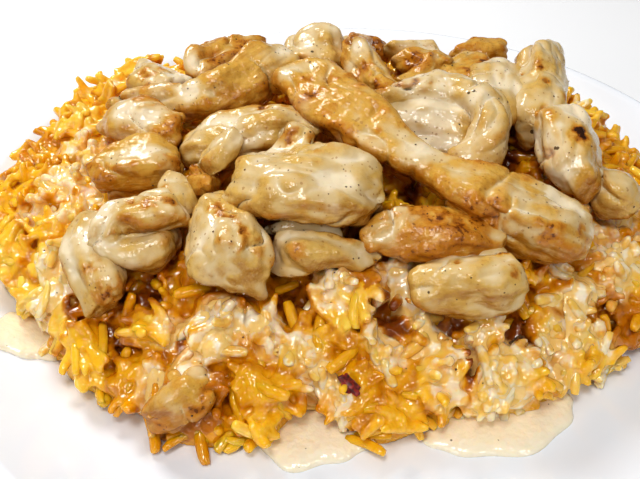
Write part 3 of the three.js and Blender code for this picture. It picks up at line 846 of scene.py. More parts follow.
# Each piece: its name, how it is finished, its legs as stations (x, y, z, width, thickness and,
# where the section leans, its lean in degrees), then browned and sauced spots (x, y, z, width).
PIECES = [
    ("long_strip", "cooked", [[
        (-17, 24, 51, 10, 9, 10), (-6, 9, 50, 12, 10, 10), (5, -3, 48, 11, 9),
        (15, -10, 46.5, 6.5, 6), (26, -17, 44, 12, 10), (38, -21, 39, 14, 12),
        (49, -21, 34, 13, 12),
    ]], [
        (-11.7, 8.3, 53.2, 1.7), (-14, 14, 53.7, 1.3), (-7, 3, 53, 1.3), (27, -24, 44, 2.2),
        (40, -26, 41, 1.5), (23, -22, 46, 1.6), (50, -18, 39, 1.7), (50, -18, 39, 0.8),
        (46, -24, 38, 1.2),
    ], [
        (42, -19, 43, 4), (11, -11, 49, 3.5), (-17, 17, 52, 2.5), (31, -26, 41, 2.2),
        (53, -22, 33, 4.5),
    ]),
    ("back_glazed_strip", "seared", [[
        (-3, 42, 49, 8, 6), (1, 27, 51, 8, 6), (7, 15, 50, 7, 5),
    ]], [(0, 23, 53, 1.6), (4, 15, 51, 1.8), (-2, 36, 53, 1.6)], [(0, 30, 54, 2)]),
    ("curled_strip", "sauced", [[
        (3, 10, 46, 11, 4, 40), (11, 10, 46, 15, 4, 42), (19, 9, 46, 17, 4, 42),
        (26, 7, 45, 14, 4, 35),
    ], [
        (3, 14, 50, 5, 5), (12, 16, 51, 6, 5), (21, 16, 51, 7, 6), (28, 12, 50, 8, 7),
        (31, 4, 48, 8, 7), (28, -2, 45, 7, 6), (21, -5, 43, 5, 5),
    ]], [
        (5, 13, 53, 1.2), (9, 14, 53, 1.1), (13, 14, 54, 1.1), (17, 14, 54, 1.2),
        (21, 14, 54, 1.5),
    ], [(16, 6, 46, 4)]),
    ("big_sauced_chunk", "sauced", [[
        (-31, -13, 44, 11, 9), (-22, -17, 45, 16, 12), (-12, -18, 46, 16, 13),
        (-3, -18, 45, 15, 12), (4, -17, 44, 13, 11),
    ], [
        (-18, -11, 47, 7, 7), (-15, -7, 51, 5, 5), (-14, -4, 54, 3, 3),
    ]], [(-17, -8, 53, 1.6)], []),
    ("left_wave_strip", "cooked", [[
        (-64, 23, 39, 7, 4, 40), (-50, 20, 42, 9, 4, 50), (-39, 19, 44, 10, 5, 50),
        (-30, 23, 47, 11, 5, 50), (-23, 29, 48, 12, 6, 40), (-16, 35, 48, 9, 6, 20),
    ]], [(-31, 19, 47, 0.9), (-60, 22, 42, 1.2)], [
        (-50, 21, 46, 2.5), (-58, 22, 43, 3), (-42, 19, 47, 2.5), (-19, 33, 51, 3),
    ]),
    ("back_crest_curl", "sauced", [[
        (7, 42, 47, 6, 5), (15, 43, 46, 7, 5), (22, 39, 46, 7, 5),
    ]], [], []),
    ("right_lobed_strip", "sauced", [[
        (47, 44, 44, 13, 11), (47, 30, 44, 14, 12), (43, 16, 43, 11, 10), (40, 9, 40, 8, 7),
    ]], [
        (45.6, 26.7, 50, 1.1), (41, 27, 48, 1), (46, 21, 49, 1), (44, 13, 46, 0.9),
    ], []),
    ("right_charred_chunk", "cooked", [[
        (47, 17, 41, 13, 11), (50, 8, 42, 15, 13), (50, 0, 41, 15, 13), (48, -6, 38, 13, 12),
    ]], [
        (50.7, 1, 47, 1.9), (50.7, 1, 47, 1.6), (50.7, 1, 47, 1.2), (46.4, -2.4, 44, 1.2),
        (44, 1, 43, 0.8),
    ], [(54, 11, 46, 4), (56, 4, 42, 4), (46, -7, 40, 3.5), (43, 4, 43, 3), (50, 9, 48, 2.5)]),
    ("left_folded_strip", "sauced", [[
        (-39, -19, 42, 8, 7), (-48, -18, 41, 10, 8), (-56, -20, 39, 10, 8), (-60, -24, 36, 7, 6),
    ], [
        (-60, -22, 37, 7, 6), (-54, -25, 34, 10, 8), (-43, -25, 34, 9, 7),
    ]], [(-52, -20, 44, 1.5), (-47.4, -21, 44.3, 1.6), (-43, -21, 45, 1.4)], []),
    ("front_rounded_chunk", "sauced", [[
        (-34, -18, 41, 10, 9), (-31, -26, 40, 15, 13), (-29, -34, 37, 17, 14),
        (-28, -39, 33, 12, 10),
    ]], [
        (-32.8, -24, 46, 1.4), (-31, -26.5, 46, 1.3), (-29, -29, 46, 1.4), (-27, -32, 45, 1.4),
    ], []),
    ("left_glossy_slice", "cooked", [[
        (-66, 16, 39, 9, 5, 20), (-55, 11, 43, 11, 5, 20), (-44, 7, 43, 8, 4, 20),
    ]], [(-62, 9, 40, 0.9), (-47, 7, 44, 1.8)], [
        (-58, 11, 45, 3), (-52, 9, 46, 2.5),
    ]),
    ("left_rounded_chunk", "cooked", [[
        (-60, 0, 38, 12, 11), (-52, -2, 40, 15, 13), (-45, 0, 40, 9, 8),
    ]], [(-60, 2, 43, 1.6), (-57, 6, 43, 1.4)], [(-50, -4, 43, 2.5)]),
    ("middle_arm", "sauced", [[
        (-28, 0, 48, 7, 6), (-33, -5, 46, 7, 6), (-36, -9, 43, 7, 6),
    ]], [], []),
    ("middle_sauced_strip", "sauced", [[
        (-43, 3, 42, 7, 6), (-35, 3, 44, 10, 8), (-24, 4, 46, 12, 9), (-15, 5, 46, 11, 8),
        (-9, 4, 45, 6, 5),
    ]], [(-24, 8, 50, 1.6), (-18, 9, 50, 1.6), (-14, 9, 49, 1.3)], []),
    ("front_smooth_chunk", "sauced", [[
        (10, -36, 34, 5, 5), (17, -36, 35, 12, 10), (26, -35, 35, 14, 12), (34, -32, 33, 11, 10),
    ]], [(31, -37.6, 38.6, 1.1), (30, -32, 41, 1.4), (19, -35, 40, 0.9)], []),
    ("front_seared_strip", "seared", [[
        (0, -26, 38, 8, 6), (8, -24, 39, 12, 8), (18, -24, 39, 14, 9), (30, -25, 37, 11, 7),
    ]], [
        (16, -25, 43, 2), (20, -29, 42, 1.9), (12, -21, 43, 2), (24, -24, 43, 2),
    ], [(5, -25, 42, 2.8)]),
    ("small_front_strip", "sauced", [[
        (-22, -29, 38, 8, 7), (-15, -30, 39, 10, 9), (-8, -30, 39, 6, 5), (-1, -30, 38, 7, 5),
        (5, -30, 36, 4, 3),
    ]], [(-4, -29, 41, 1.2), (3, -32, 37, 0.9)], []),
    ("thin_grey_strip", "sauced", [[
        (-22, -24, 40, 5, 4), (-14, -25, 41, 6, 4), (-4, -26, 39, 4, 3),
    ]], [], []),
    ("narrow_link_strip", "sauced", [[
        (-45, -8, 42, 6, 5), (-42, -14, 41, 8, 6), (-39, -20, 40, 7, 5),
    ]], [(-44, -15, 44, 1.4)], []),
    ("small_middle_piece", "seared", [[
        (-42, -4, 42, 6, 4), (-38, -8, 41, 7, 5), (-34, -12, 40, 6, 5),
    ]], [(-40, -6, 44, 1.6)], []),
    ("left_upright_strip", "sauced", [[
        (-58, -13, 37, 7, 5), (-62, -21, 34, 10, 7), (-59, -29, 30, 10, 8), (-56, -36, 25, 10, 8),
    ]], [
        (-56.3, -36, 30, 2.2), (-60, -30, 35, 1.5), (-57, -27, 38, 1),
    ], []),
    ("back_sauced_chunk", "sauced", [[
        (-20, 41, 45, 10, 8), (-12, 41, 46, 13, 10), (-4, 38, 46, 11, 9),
    ]], [], []),
    ("back_brown_strip", "seared", [[
        (-9, 52, 41, 8, 6), (-1, 53, 41, 9, 7), (7, 51, 41, 8, 6),
    ]], [(5, 49, 43, 1.8)], [(-4, 52, 45, 2)]),
    ("back_ring_chunk", "cooked", [[
        (11, 38, 43, 10, 8), (16, 37, 44, 11, 9), (22, 35, 44, 10, 8),
    ], [
        (20, 36, 44, 9, 8), (18, 29, 44, 9, 7), (11, 26, 43, 7, 6),
    ]], [(14, 33, 48, 2.0)], []),
    ("back_sliver", "sauced", [[
        (28, 24, 46, 4, 3), (31, 25, 47, 5, 4), (34, 26, 46, 4, 3),
    ]], [], []),
    ("right_back_lobe", "sauced", [[
        (38, 36, 42, 10, 8), (34, 22, 44, 12, 10), (36, 12, 41, 9, 7),
    ]], [(35, 12, 45, 1.2)], []),
    ("back_knotted_piece", "cooked", [[
        (23, 26, 43, 10, 8), (29, 33, 44, 12, 9), (37, 41, 42, 8, 6),
    ]], [(27, 30, 48, 2.2), (33, 35, 47, 2.0), (24, 25, 46, 1.6)], []),
    ("back_thin_strip", "cooked", [[
        (24, 47, 41, 7, 5), (34, 48, 41, 8, 6), (43, 50, 40, 6, 5),
    ]], [], []),
    ("far_left_brown_strip", "seared", [[
        (-45, 35, 44, 9, 6, 30), (-38, 42, 43, 11, 7, 30), (-31, 50, 42, 11, 7, 30),
        (-25, 55, 40, 8, 5, 20),
    ]], [(-38, 38, 46, 1.8), (-30, 46, 45, 1.8)], [(-44, 35, 47, 2.2)]),
    ("far_left_sauced_end", "sauced", [[
        (-60, 40, 40, 11, 9), (-52, 34, 42, 12, 9), (-45, 29, 43, 9, 8),
    ]], [(-54, 31, 45, 2.4)], [(-46, 28, 46, 2.6)]),
    ("right_sauced_lump", "sauced", [[
        (54, -3, 34, 10, 9), (60, -4, 33, 12, 10), (66, -5, 29, 8, 7),
    ]], [], []),
    ("foot_seared_chunk", "cooked", [[
        (-46, -55, 11, 9, 7), (-40, -54, 15, 12, 9), (-33, -52, 18, 11, 9),
    ]], [
        (-44, -58, 15, 1.5), (-36, -57, 19, 1.5), (-34, -54, 21, 1.2), (-33, -58, 15, 1.6),
    ], []),
]

# How much of a piece the pan has browned and how patchily, and how much sauce clings to it.
BROWNED = {"cooked": 0.08, "seared": 0.3, "sauced": -0.12}
PATCHY = {"cooked": 0.7, "seared": 0.7, "sauced": 0.45}
CLINGING = {"cooked": 0.22, "seared": 0.05, "sauced": 0.8}
COAT_DEPTH = 0.5


def along_stations(stations, share):
    """Catmull-Rom reading of a table of stations at many shares of its length."""
    table = np.array(stations, float)
    span = share * (len(table) - 1)
    step = np.clip(span.astype(int), 0, len(table) - 2)
    t = (span - step)[:, None]
    before = table[np.maximum(step - 1, 0)]
    here = table[step]
    following = table[step + 1]
    after = table[np.minimum(step + 2, len(table) - 1)]
    bend = 2 * before - 5 * here + 4 * following - after
    twist = 3 * here - before - 3 * following + after
    return here + 0.5 * t * (following - before + t * (bend + t * twist))


def leg_frame(stations, share):
    """Middle, width and thickness, path direction, and the section's own side and up, which
    turn by the lean about the path."""
    table = [(*station, 0)[:6] for station in stations]
    line = along_stations(table, share)
    ahead = along_stations(table, np.minimum(1, share + 0.01))
    behind = along_stations(table, np.maximum(0, share - 0.01))
    path = unit(ahead[:, :3] - behind[:, :3])
    level = unit(np.cross([0, 0, 1], path))
    upright = np.cross(path, level)
    lean = np.radians(line[:, 5:])
    side = np.cos(lean) * level + np.sin(lean) * upright
    top = np.cos(lean) * upright - np.sin(lean) * level
    return line[:, :3], line[:, 3:5], path, side, top


def leg_shell(stations, draws):
    """One leg as a closed shell. Its section is cut by six soft flats that wander along it,
    1 / radius^12 = sum (cos / distance)^12, and its ends are blunt and cut a little askew."""
    share = 0.5 - 0.5 * np.cos(np.linspace(0, np.pi, LEG_RINGS + 2)[1:-1])
    middle, size, path, side, top = leg_frame(stations, share)
    length = np.linalg.norm(np.diff(middle, axis=0), axis=1).sum()
    to_end = np.minimum(share, 1 - share) * length
    cap = np.clip(to_end / (END_LENGTH * size[:, 0]), 0, 1)
    swell = (1 - (1 - cap) ** 4) ** (1 / 4)
    flat = np.arange(FACETS)
    waves = draws.uniform(3, 8, FACETS)
    wander = 0.3 * np.sin(share[:, None] * waves + draws.uniform(0, 6, FACETS))
    facing = FULL_TURN * (flat + 0.35 * draws.normal(size=FACETS)) / FACETS + wander
    swing = np.sin(share[:, None] * draws.uniform(4, 12, FACETS) + draws.uniform(0, 6, FACETS))
    distance = 1 + 0.1 * draws.normal(size=FACETS) + 0.1 * swing
    turn = np.linspace(FULL_TURN, 0, LEG_SIDES, endpoint=False)
    toward = np.maximum(0, np.cos(turn[:, None] - facing[:, None, :]))
    radius = ((toward / distance[:, None, :]) ** 12).sum(-1) ** (-1 / 12)
    radius = FULLNESS * np.clip(radius, 0.8, 1.25) * swell[:, None]
    across = 0.5 * size[:, :1] * radius * np.cos(turn)
    above = 0.5 * size[:, 1:] * radius * np.sin(turn)
    near_end = np.where(share < 0.5, -1, 1) * (1 - cap)
    skew = draws.normal(0, END_SKEW, 2)[:, None, None]
    slip = near_end[:, None] * (skew[0] * across + skew[1] * above)
    points = middle[:, None] + across[..., None] * side[:, None] + above[..., None] * top[:, None]
    points = points + slip[..., None] * path[:, None]
    return points, points[0].mean(0), points[-1].mean(0)


# Faces where the knife went through, on the pieces that plainly show them: a point of the
# face, and the way it faces.
KNIFE_CUTS = {
    "long_strip": [(52, -22, 35, 0.8, -0.5, 0.2)],
    "right_charred_chunk": [
        (48, -9, 38, 0, -1, 0.2), (43, 3, 43, -0.9, -0.2, 0.4), (50, 4, 48, 0.1, -0.2, 1),
    ],
    "left_rounded_chunk": [
        (-52, -1, 45.6, 0, -0.1, 1), (-52, -8.5, 42, 0.1, -1, 0.3), (-44, -2, 42, 1, 0, 0.1),
    ],
    "left_glossy_slice": [(-55, 9, 46, 0, -0.3, 1), (-44, 5, 43, 1, -0.4, 0.2)],
    "front_rounded_chunk": [(-30, -37, 38, 0.1, -1, 0.1), (-36, -26, 43, -0.8, -0.1, 0.6)],
    "front_smooth_chunk": [(38, -32, 34, 1, -0.2, 0.3), (24, -35, 40.6, -0.1, -0.2, 1)],
    "left_upright_strip": [(-57, -40, 28, 0.1, -0.9, 0.2), (-53, -32, 30, 0.9, -0.4, 0.2)],
    "foot_seared_chunk": [(-38, -58, 15, 0.2, -1, 0.1), (-30, -55, 17, 1, -0.3, 0.1)],
    "right_lobed_strip": [(50, 46, 50, 0.3, 0.2, 1), (53, 40, 45, 1, 0, 0.1)],
}


def sliced(points, cuts, draws):
    """The skin with soft flat cuts across its outermost parts and at the knife's own faces:
    past each plane most of the way w beyond it is taken off, softened at the plane as
    (w + hypot(w, softness)) / 2."""
    facing = unit(draws.normal(size=(SLICES, 3)) * (1, 1, 0.8))
    depth = draws.uniform(*SLICE_DEPTHS, SLICES)
    middle = points.mean(0)
    planes = []
    for normal, cut in zip(facing, depth):
        planes.append((normal, middle @ normal + ((points - middle) @ normal).max() - cut))
    for cut in np.array(cuts, float).reshape(-1, 6):
        normal = unit(cut[3:])
        planes.append((normal, cut[:3] @ normal))
    for normal, height in planes:
        past = points @ normal - height
        past = 0.5 * (past + np.hypot(past, SLICE_SOFTNESS))
        points = points - SLICE_SHARE * past[:, None] * normal
    return points


def skin_normals(points, quads):
    """Outward normals at the points of a skin: the sum of the quads' crossed diagonals."""
    corner = points[quads]
    facing = np.cross(corner[:, 2] - corner[:, 0], corner[:, 3] - corner[:, 1])
    total = np.zeros_like(points)
    for number in range(4):
        np.add.at(total, quads[:, number], facing)
    return unit(total)


def along_fibres(points, legs):
    """Each point in its nearest leg's own measure: way along, across and above the middle,
    and how far out in the section it is, 1 on the plain oval."""
    share = np.linspace(0, 1, 60)
    frames = [leg_frame(stations, share) for stations in legs]
    middle, size, path, side, top = joined(frames)
    steps = np.linalg.norm(np.diff(middle, axis=0, prepend=middle[:1]), axis=1)
    way = np.cumsum(steps)
    near = squared_gaps(points, middle).argmin(1)
    off = points - middle[near]
    along = way[near] + (off * path[near]).sum(-1)
    across = (off * side[near]).sum(-1)
    above = (off * top[near]).sum(-1)
    out = np.hypot(2 * across / size[near, 0], 2 * above / size[near, 1])
    return np.stack([along, across, above], -1), out


def spotted(points, normal, spots):
    """Soft round spots on a skin, 1 in the middle of each and adding up where two meet. Each
    starts at the skin's nearest point, and the way along the skin's normal counts for less."""
    total = np.zeros(len(points))
    for *middle, width in spots:
        nearest = ((points - middle) ** 2).sum(-1).argmin()
        away = points - points[nearest]
        away = away - SPOT_FLATNESS * (away * normal).sum(-1, keepdims=True) * normal
        total += np.exp(-((away**2).sum(-1) / (SPOT_SPREAD * width) ** 2))
    return total


def crests(points, quads, normal):
    """How far each point stands out past the average of its surroundings, measured so that
    the piece's middle value is 0 and its 92nd hundredth is 1."""
    start = quads.ravel()
    end = np.roll(quads, -1, 1).ravel()
    count = np.bincount(start, minlength=len(points))
    even = points
    for _ in range(EVEN_ROUNDS):
        sums = [np.bincount(start, even[end, axis], len(points)) for axis in range(3)]
        even = 0.5 * even + 0.5 * np.stack(sums, -1) / count[:, None]
    out = ((points - even) * normal).sum(-1)
    usual, high = np.percentile(out, [50, 92])
    return (out - usual) / (high - usual)


def muscle_relief(apart, fibres):
    """Rise and fall of the flesh: creased ridges and broad lumps, folds and bundles drawn out
    along the fibres, small bumps, less narrow seams where one of the clouds crosses 0."""
    seam = fading(cloud(apart / 12, 1), 0.07)
    seam = seam * rise_between(-0.1, 0.4, cloud(apart / 9, 2))
    ridge = 1 - np.abs(cloud(apart / 9, 3))
    folds = 0.6 - np.abs(cloud(fibres / (19, 6.5, 6.5), 15))
    bundles = np.abs(cloud(fibres / (15, 3.6, 3.6), 16)) - 0.3
    relief = 0.9 * (ridge - 0.7) + 0.9 * cloud(apart / 13, 4) - 1.3 * seam + 1.2 * folds
    relief += 0.3 * cloud(apart / 4.5, 13) + 0.35 * (0.6 - np.abs(cloud(apart / 5.5, 14)))
    return relief + 0.8 * bundles


def pan_browning(look, apart, out, crest, spots):
    """How brown the pan left each point: the look's own share, patches, the thin edges, and
    the crests on the side that lay in the pan, then the browned spots over them."""
    patches = 0.55 * cloud(apart / 6, 5) + 0.25 * cloud(apart / 2.2, 6)
    seared_side = rise_between(-0.2, 0.2, cloud(apart / 11, 17))
    brown = BROWNED[look] + PATCHY[look] * patches + 0.3 * rise_between(1.0, 1.2, out)
    brown += 0.55 * np.clip(crest - 0.3, 0, 1.2) * seared_side
    brown = np.minimum(brown, 0.8) * (1 - 0.5 * np.minimum(spots, 1)) + 0.9 * spots
    return np.clip(brown / 1.2, 0, 1.6)


def cut_of_chicken(look, legs, browned, sauced, cuts, number):
    """A piece's skin: the fused legs, sliced and given relief, then fine strands and a coat of
    sauce. The sauce clings to what faces up and lies low, less where the pan has browned it;
    that it keeps off the sides is partly the sauce running down and partly painted shade.
    Returns the mesh's points, quads and fields."""
    shells = [leg_shell(stations, np.random.default_rng(100 + number)) for stations in legs]
    points, quads = fuse(shells, SKIN_SQUARE)
    points = sliced(points, cuts, np.random.default_rng(200 + number))
    apart = points + 40.0 * number
    fibres, out = along_fibres(points, legs)
    relief = muscle_relief(apart, fibres + 30.0 * number)
    points = points + skin_normals(points, quads) * relief[:, None]
    normal = skin_normals(points, quads)
    crest = crests(points, quads, normal)
    ragged = np.clip(1 + 1.3 * cloud(apart / 1.8, 18), 0.3, 1.4)
    spots = spotted(points, normal, browned) * ragged
    cling_and_shade = CLINGING[look] + 0.5 * cloud(apart / 8, 7) + 0.22 * cloud(apart / 3.2, 8)
    # The rise with the normal's height whitens the tops and leaves the sides darker: partly sauce
    # running down, partly painted light and shade.
    cling_and_shade += 0.55 * normal[:, 2] - 0.27 + 1.1 * spotted(points, normal, sauced) - 0.95 * spots
    cling_and_shade -= 0.2 * relief + 0.22 * np.clip(crest, -1.5, 1.5)
    coat_and_shade = np.clip(cling_and_shade, 0, 1)
    strand = 0.24 * cloud(fibres / (7, 1.3, 1.3), 9) + 0.2 * cloud(apart / 1.7, 10)
    fine = strand * (1 - 0.6 * coat_and_shade) + COAT_DEPTH * coat_and_shade + 0.15 * coat_and_shade * cloud(apart / 3, 11)
    fields = {
        "brown": pan_browning(look, apart, out, crest, spots),
        "coat_and_shade": coat_and_shade,
        "pooled": np.clip(cling_and_shade - 0.8, 0, 1),
        # Tone: random patches, plus painted shade that rises on faces turned sideways and down.
        "tone": 0.4 + 0.4 * cloud(apart / 7, 12) + 0.6 * (0.35 - normal[:, 2]),
        "fibre": fibres,
    }
    return points + normal * fine[:, None], quads, fields


def pan_seared_chicken(name, coat_strength, pale, golden_shaded):
    """Pale flesh with fibres along the cut, golden in painted shade on its sides and undersides
    and in random patches, browned and charred in specks, under a film of cream sauce where the
    coat field says (itself partly painted shade, thinner on the sides), with pepper."""
    finish = Finish(name)
    where = finish.place()
    brown = finish.field("brown")
    coat_and_shade = finish.field("coat_and_shade")
    tone = finish.field("tone")
    fibre = finish.field("fibre", "Vector")
    stretched = finish.add("ShaderNodeMapping", {}, {"Vector": fibre, "Scale": (0.3, 1.8, 1.8)})
    strand = finish.noise(stretched, 1.0, 3.0, 0.6)
    speckle = finish.noise(where, 1.8 * MM, 5.0, 0.7)
    fleck = finish.noise(where, 0.9 * MM, 2.0, 0.5)
    mottle = finish.noise(where, 3.4 * MM, 3.0, 0.65)
    cream = finish.noise(where, 8.0 * MM, 2.0)
    # The golden colour stands for shade on the sides and undersides as well as the flesh's own
    # patches: painted shade.
    golden_tone_and_shade = (tone + (mottle - 0.5) * 1.2).between(0.0, 0.9)
    flesh = finish.blend(golden_tone_and_shade, pale, golden_shaded)
    flesh = finish.blend(strand.between(0.45, 0.75) * 0.4, flesh, colour(220, 182, 104))
    grain = finish.noise(where, 1.1 * MM, 3.0, 0.65)
    flesh = finish.blend(grain.between(0.5, 0.78) * 0.45, flesh, colour(148, 90, 8))
    seared = brown + (speckle - 0.5) * 1.1 + (mottle - 0.5) * 0.7
    crust = finish.blend(seared.between(0.1, 0.7) * 0.85, flesh, colour(188, 120, 28))
    crust = finish.blend(seared.between(0.5, 1.1) * 0.8, crust, colour(134, 70, 8))
    flecks = (brown * 0.8 + (fleck - 0.5) * 2.2 + (speckle - 0.5) * 0.8).between(0.78, 1.05)
    crust = finish.blend(flecks * 0.75, crust, colour(92, 46, 8))
    char = (brown + (speckle - 0.5) * 1.2 + (grain - 0.5) * 0.8).between(1.25, 1.5)
    crust = finish.blend(char * 0.9, crust, colour(44, 20, 6))
    glaze = (coat_and_shade + (mottle - 0.5) * 0.9).between(0.0, 0.8)
    thick = (coat_and_shade + (mottle - 0.5) * 0.7 + (cream - 0.5) * 1.5).between(0.35, 0.95)
    sauced = finish.blend(glaze * coat_strength * 0.45, crust, colour(210, 172, 92))
    sauced = finish.blend(thick * coat_strength, sauced, colour(212, 186, 137))
    pooled = finish.field("pooled") + (cream - 0.5) * 1.2
    sauced = finish.blend(pooled.between(0.05, 0.6) * 0.7, sauced, colour(238, 224, 196))
    film = thick * coat_strength
    pepper = finish.cells(where, 2.1 * MM)
    chosen = finish.noise(where, 4.0 * MM, 1.0)
    size = (chosen - 0.56) * 1.2
    dots = (size - pepper).between(-0.02, 0.03)
    crumb = finish.cells(where, 1.3 * MM)
    crumbs = ((mottle - 0.42) * 1.3 - crumb).between(-0.04, 0.06)
    sauced = finish.blend(crumbs * 0.5, sauced, colour(150, 98, 36))
    wet = finish.noise(where, 1.7 * MM, 1.0)
    relief = strand * (1 - film * 0.8) * 0.5 + wet * (0.9 - film * 0.4)
    relief = relief + fleck * (0.4 - film * 0.3)
    return finish.paint(
        Base_Color=finish.blend(dots * 0.85, sauced, colour(58, 34, 16)),
        Roughness=0.15 - film * 0.04 + (speckle - 0.5) * 0.2,
        Specular_IOR_Level=0.45,
        Subsurface_Weight=0.15,
        Subsurface_Radius=(1.0, 0.6, 0.25),
        Subsurface_Scale=1.6 * MM,
        Normal=finish.bump(relief, 0.3),
    )


# The pale colours are the flesh itself; the golden ones are its painted-shade copies for the sides
# and undersides.
PALE_FLESH = colour(206, 158, 68)
GOLDEN_SHADED_FLESH = colour(164, 100, 2)
PALE_SAUCED = colour(208, 169, 92)
GOLDEN_SHADED_SAUCED = colour(154, 98, 14)
chicken_finish = {
    "cooked": pan_seared_chicken("cooked_chicken", 0.85, PALE_FLESH, GOLDEN_SHADED_FLESH),
    "seared": pan_seared_chicken("seared_chicken", 0.8, PALE_FLESH, GOLDEN_SHADED_FLESH),
    "sauced": pan_seared_chicken("sauced_chicken", 0.9, PALE_SAUCED, GOLDEN_SHADED_SAUCED),
}
chicken_tops = []
for number, (name, look, legs, browned, sauced) in enumerate(PIECES):
    cuts = KNIFE_CUTS.get(name, [])
    points, quads, fields = cut_of_chicken(look, legs, browned, sauced, cuts, number)
    facing = skin_normals(points, quads)
    chicken_tops.append(np.hstack([points, facing])[facing[:, 2] > UPWARD])
    mesh = new_mesh(f"chicken_{name}_cut", points, quads)
    serve(mesh, chicken_finish[look], f"{look}_chicken", [f"chicken_{name}"], **fields)


# ---- The sauce ----
# A pepper cream sauce poured over everything. It coats the grains it ran over, fills the gaps
# between them, and stands in shallow pools where it reached the plate.

# The squares of the sauce's skin, and the film over the grains: how far inside a grain its
# shell lies where sauce covers it and where it is bare, and the distances from a grain's
# middle line between which the film becomes deep sauce.
SAUCE_SQUARE = 0.7
FILM_INSET = 0.15
BARE_INSET = 0.7
DEEP_SAUCE = (1.4, 2.6)

# A patch of sauce, measured from the face of the rice: its edge, its rise, and its underside.
PATCH_EDGE = -3.6
PATCH_RISE = 2.4
SHEET_LIFT = 2.2
PATCH_BED = -4.8
PATCH_RINGS = 14
PATCH_SIDES = 48

# The pools on the plate.
POOL_DEPTH = 1.9
POOL_RINGS = 40
POOL_SIDES = 160


def heap_place(x, y):
    """Bearing and share of the heap's face over a point of the plate, by repeated division."""
    angle = np.arctan2(y - HEAP_Y, x - HEAP_X)
    reach = np.hypot(x - HEAP_X, y - HEAP_Y)
    share = reach / heap_reach(angle, 1.0)
    for _ in range(6):
        share = share * reach / np.maximum(1e-6, heap_reach(angle, share))
    return angle, np.clip(share, 0.02, 0.985)


# Places where the sauce stands smooth over the grains: x, y, width.
SAUCE_SHEETS = {
    "left": [(-69, -25, 5), (-64, -31, 4.5), (-73, -21, 4)],
    "front": [
        (-27, -39, 5), (-32, -44, 4.5), (-22, -42, 4), (-44, -48, 4), (7, -30, 5), (9, -35, 4),
    ],
    "right": [(48, -27, 6), (54, -26, 5), (42, -33, 4.5), (60, -20, 5), (50, -36, 4)],
    "back": [(20, 62, 5), (-30, 66, 5), (58, 42, 5)],
}


def sauce_patch(x, y, width, draws, lift=0.0):
    """A lens of sauce lying in the rice round one point, ragged at its edge: from below the
    grains it rises as 1 - share^2.5, more where it is wide and by its lift, with soft lumps."""
    turn = np.linspace(0, FULL_TURN, PATCH_SIDES, endpoint=False)
    ragged = 1 + 0.16 * np.sin(3 * turn + draws.uniform(0, 6))
    ragged += 0.1 * np.sin(7 * turn + draws.uniform(0, 6))
    share = np.linspace(0.06, 1, PATCH_RINGS)[:, None]
    reach = 1.05 * width * ragged * share
    angle, way = heap_place(x + reach * np.cos(turn), y + reach * np.sin(turn))
    face, normal, _, _ = heap_frame(angle.ravel(), way.ravel())
    relief = clump_relief(face)[0]
    rise = PATCH_EDGE + (PATCH_RISE + 0.22 * width + lift) * (1 - share**2.5) + 0 * turn
    swell = 1.6 * cloud(face / 6, 32) * (1 - share**2 + 0 * turn).ravel()
    top = face + normal * (rise.ravel() + swell + 0.8 * relief)[:, None]
    under = face + normal * (relief + PATCH_BED)[:, None]
    top = top.reshape(PATCH_RINGS, PATCH_SIDES, 3)
    under = under.reshape(PATCH_RINGS, PATCH_SIDES, 3)[::-1]
    return np.concatenate([top, under]), top[0].mean(0), under[-1].mean(0)


def coated_grains(points, runs):
    """The grains that the sauce touches, as thin shells that the melting swells into a film:
    just inside the grain where the sauce covers it, and well inside it where it stops."""
    share = sauced_share(points, runs)
    touched = share.max((1, 2)) > 0.05
    points = points[touched]
    share = share[touched]
    line = points.mean(2, keepdims=True)
    away = points - line
    radius = np.linalg.norm(away, axis=-1, keepdims=True)
    grow = (share * (BARE_INSET - FILM_INSET) - BARE_INSET)[..., None]
    body = line + away * (1 + grow / np.maximum(radius, 0.3))
    ahead = unit(line[:, -1] - line[:, 0])
    start = points[:, 0, 0] - ahead[:, 0] * grow[:, 0, 0]
    end = points[:, -1, 0] + ahead[:, 0] * grow[:, -1, 0]
    return points, list(zip(body[:, 1:-1], start, end))


def cream_sauce():
    """Thick cream, yellower and clearer where it is a thin film, with ground pepper in it."""
    finish = Finish("cream_sauce")
    where = finish.place()
    cloudy = finish.noise(where, 6 * MM, 2.0)
    fine = finish.noise(where, 1.5 * MM, 2.0)
    depth = finish.field("depth")
    white = (depth * 0.9 + cloudy * 0.6 + fine * 0.3).between(0.45, 1.15)
    cream = finish.blend(white, colour(244, 205, 127), colour(250, 235, 207))
    pepper = finish.cells(where, 3.2 * MM)
    chosen = finish.noise(where, 3.0 * MM, 0.0)
    dots = (1 - pepper.between(0.06, 0.1)) * chosen.between(0.5, 0.56)
    return finish.paint(
        Base_Color=finish.blend(dots * 0.8, cream, colour(70, 46, 26)),
        Roughness=0.04 + fine * 0.07,
        Specular_IOR_Level=0.8,
        Alpha=finish.field("cover"),
        Subsurface_Weight=0.25,
        Subsurface_Radius=(1.0, 0.7, 0.35),
        Subsurface_Scale=1.5 * MM,
        Normal=finish.bump(cloudy * 0.8 + fine * 0.8, 0.3),
    )


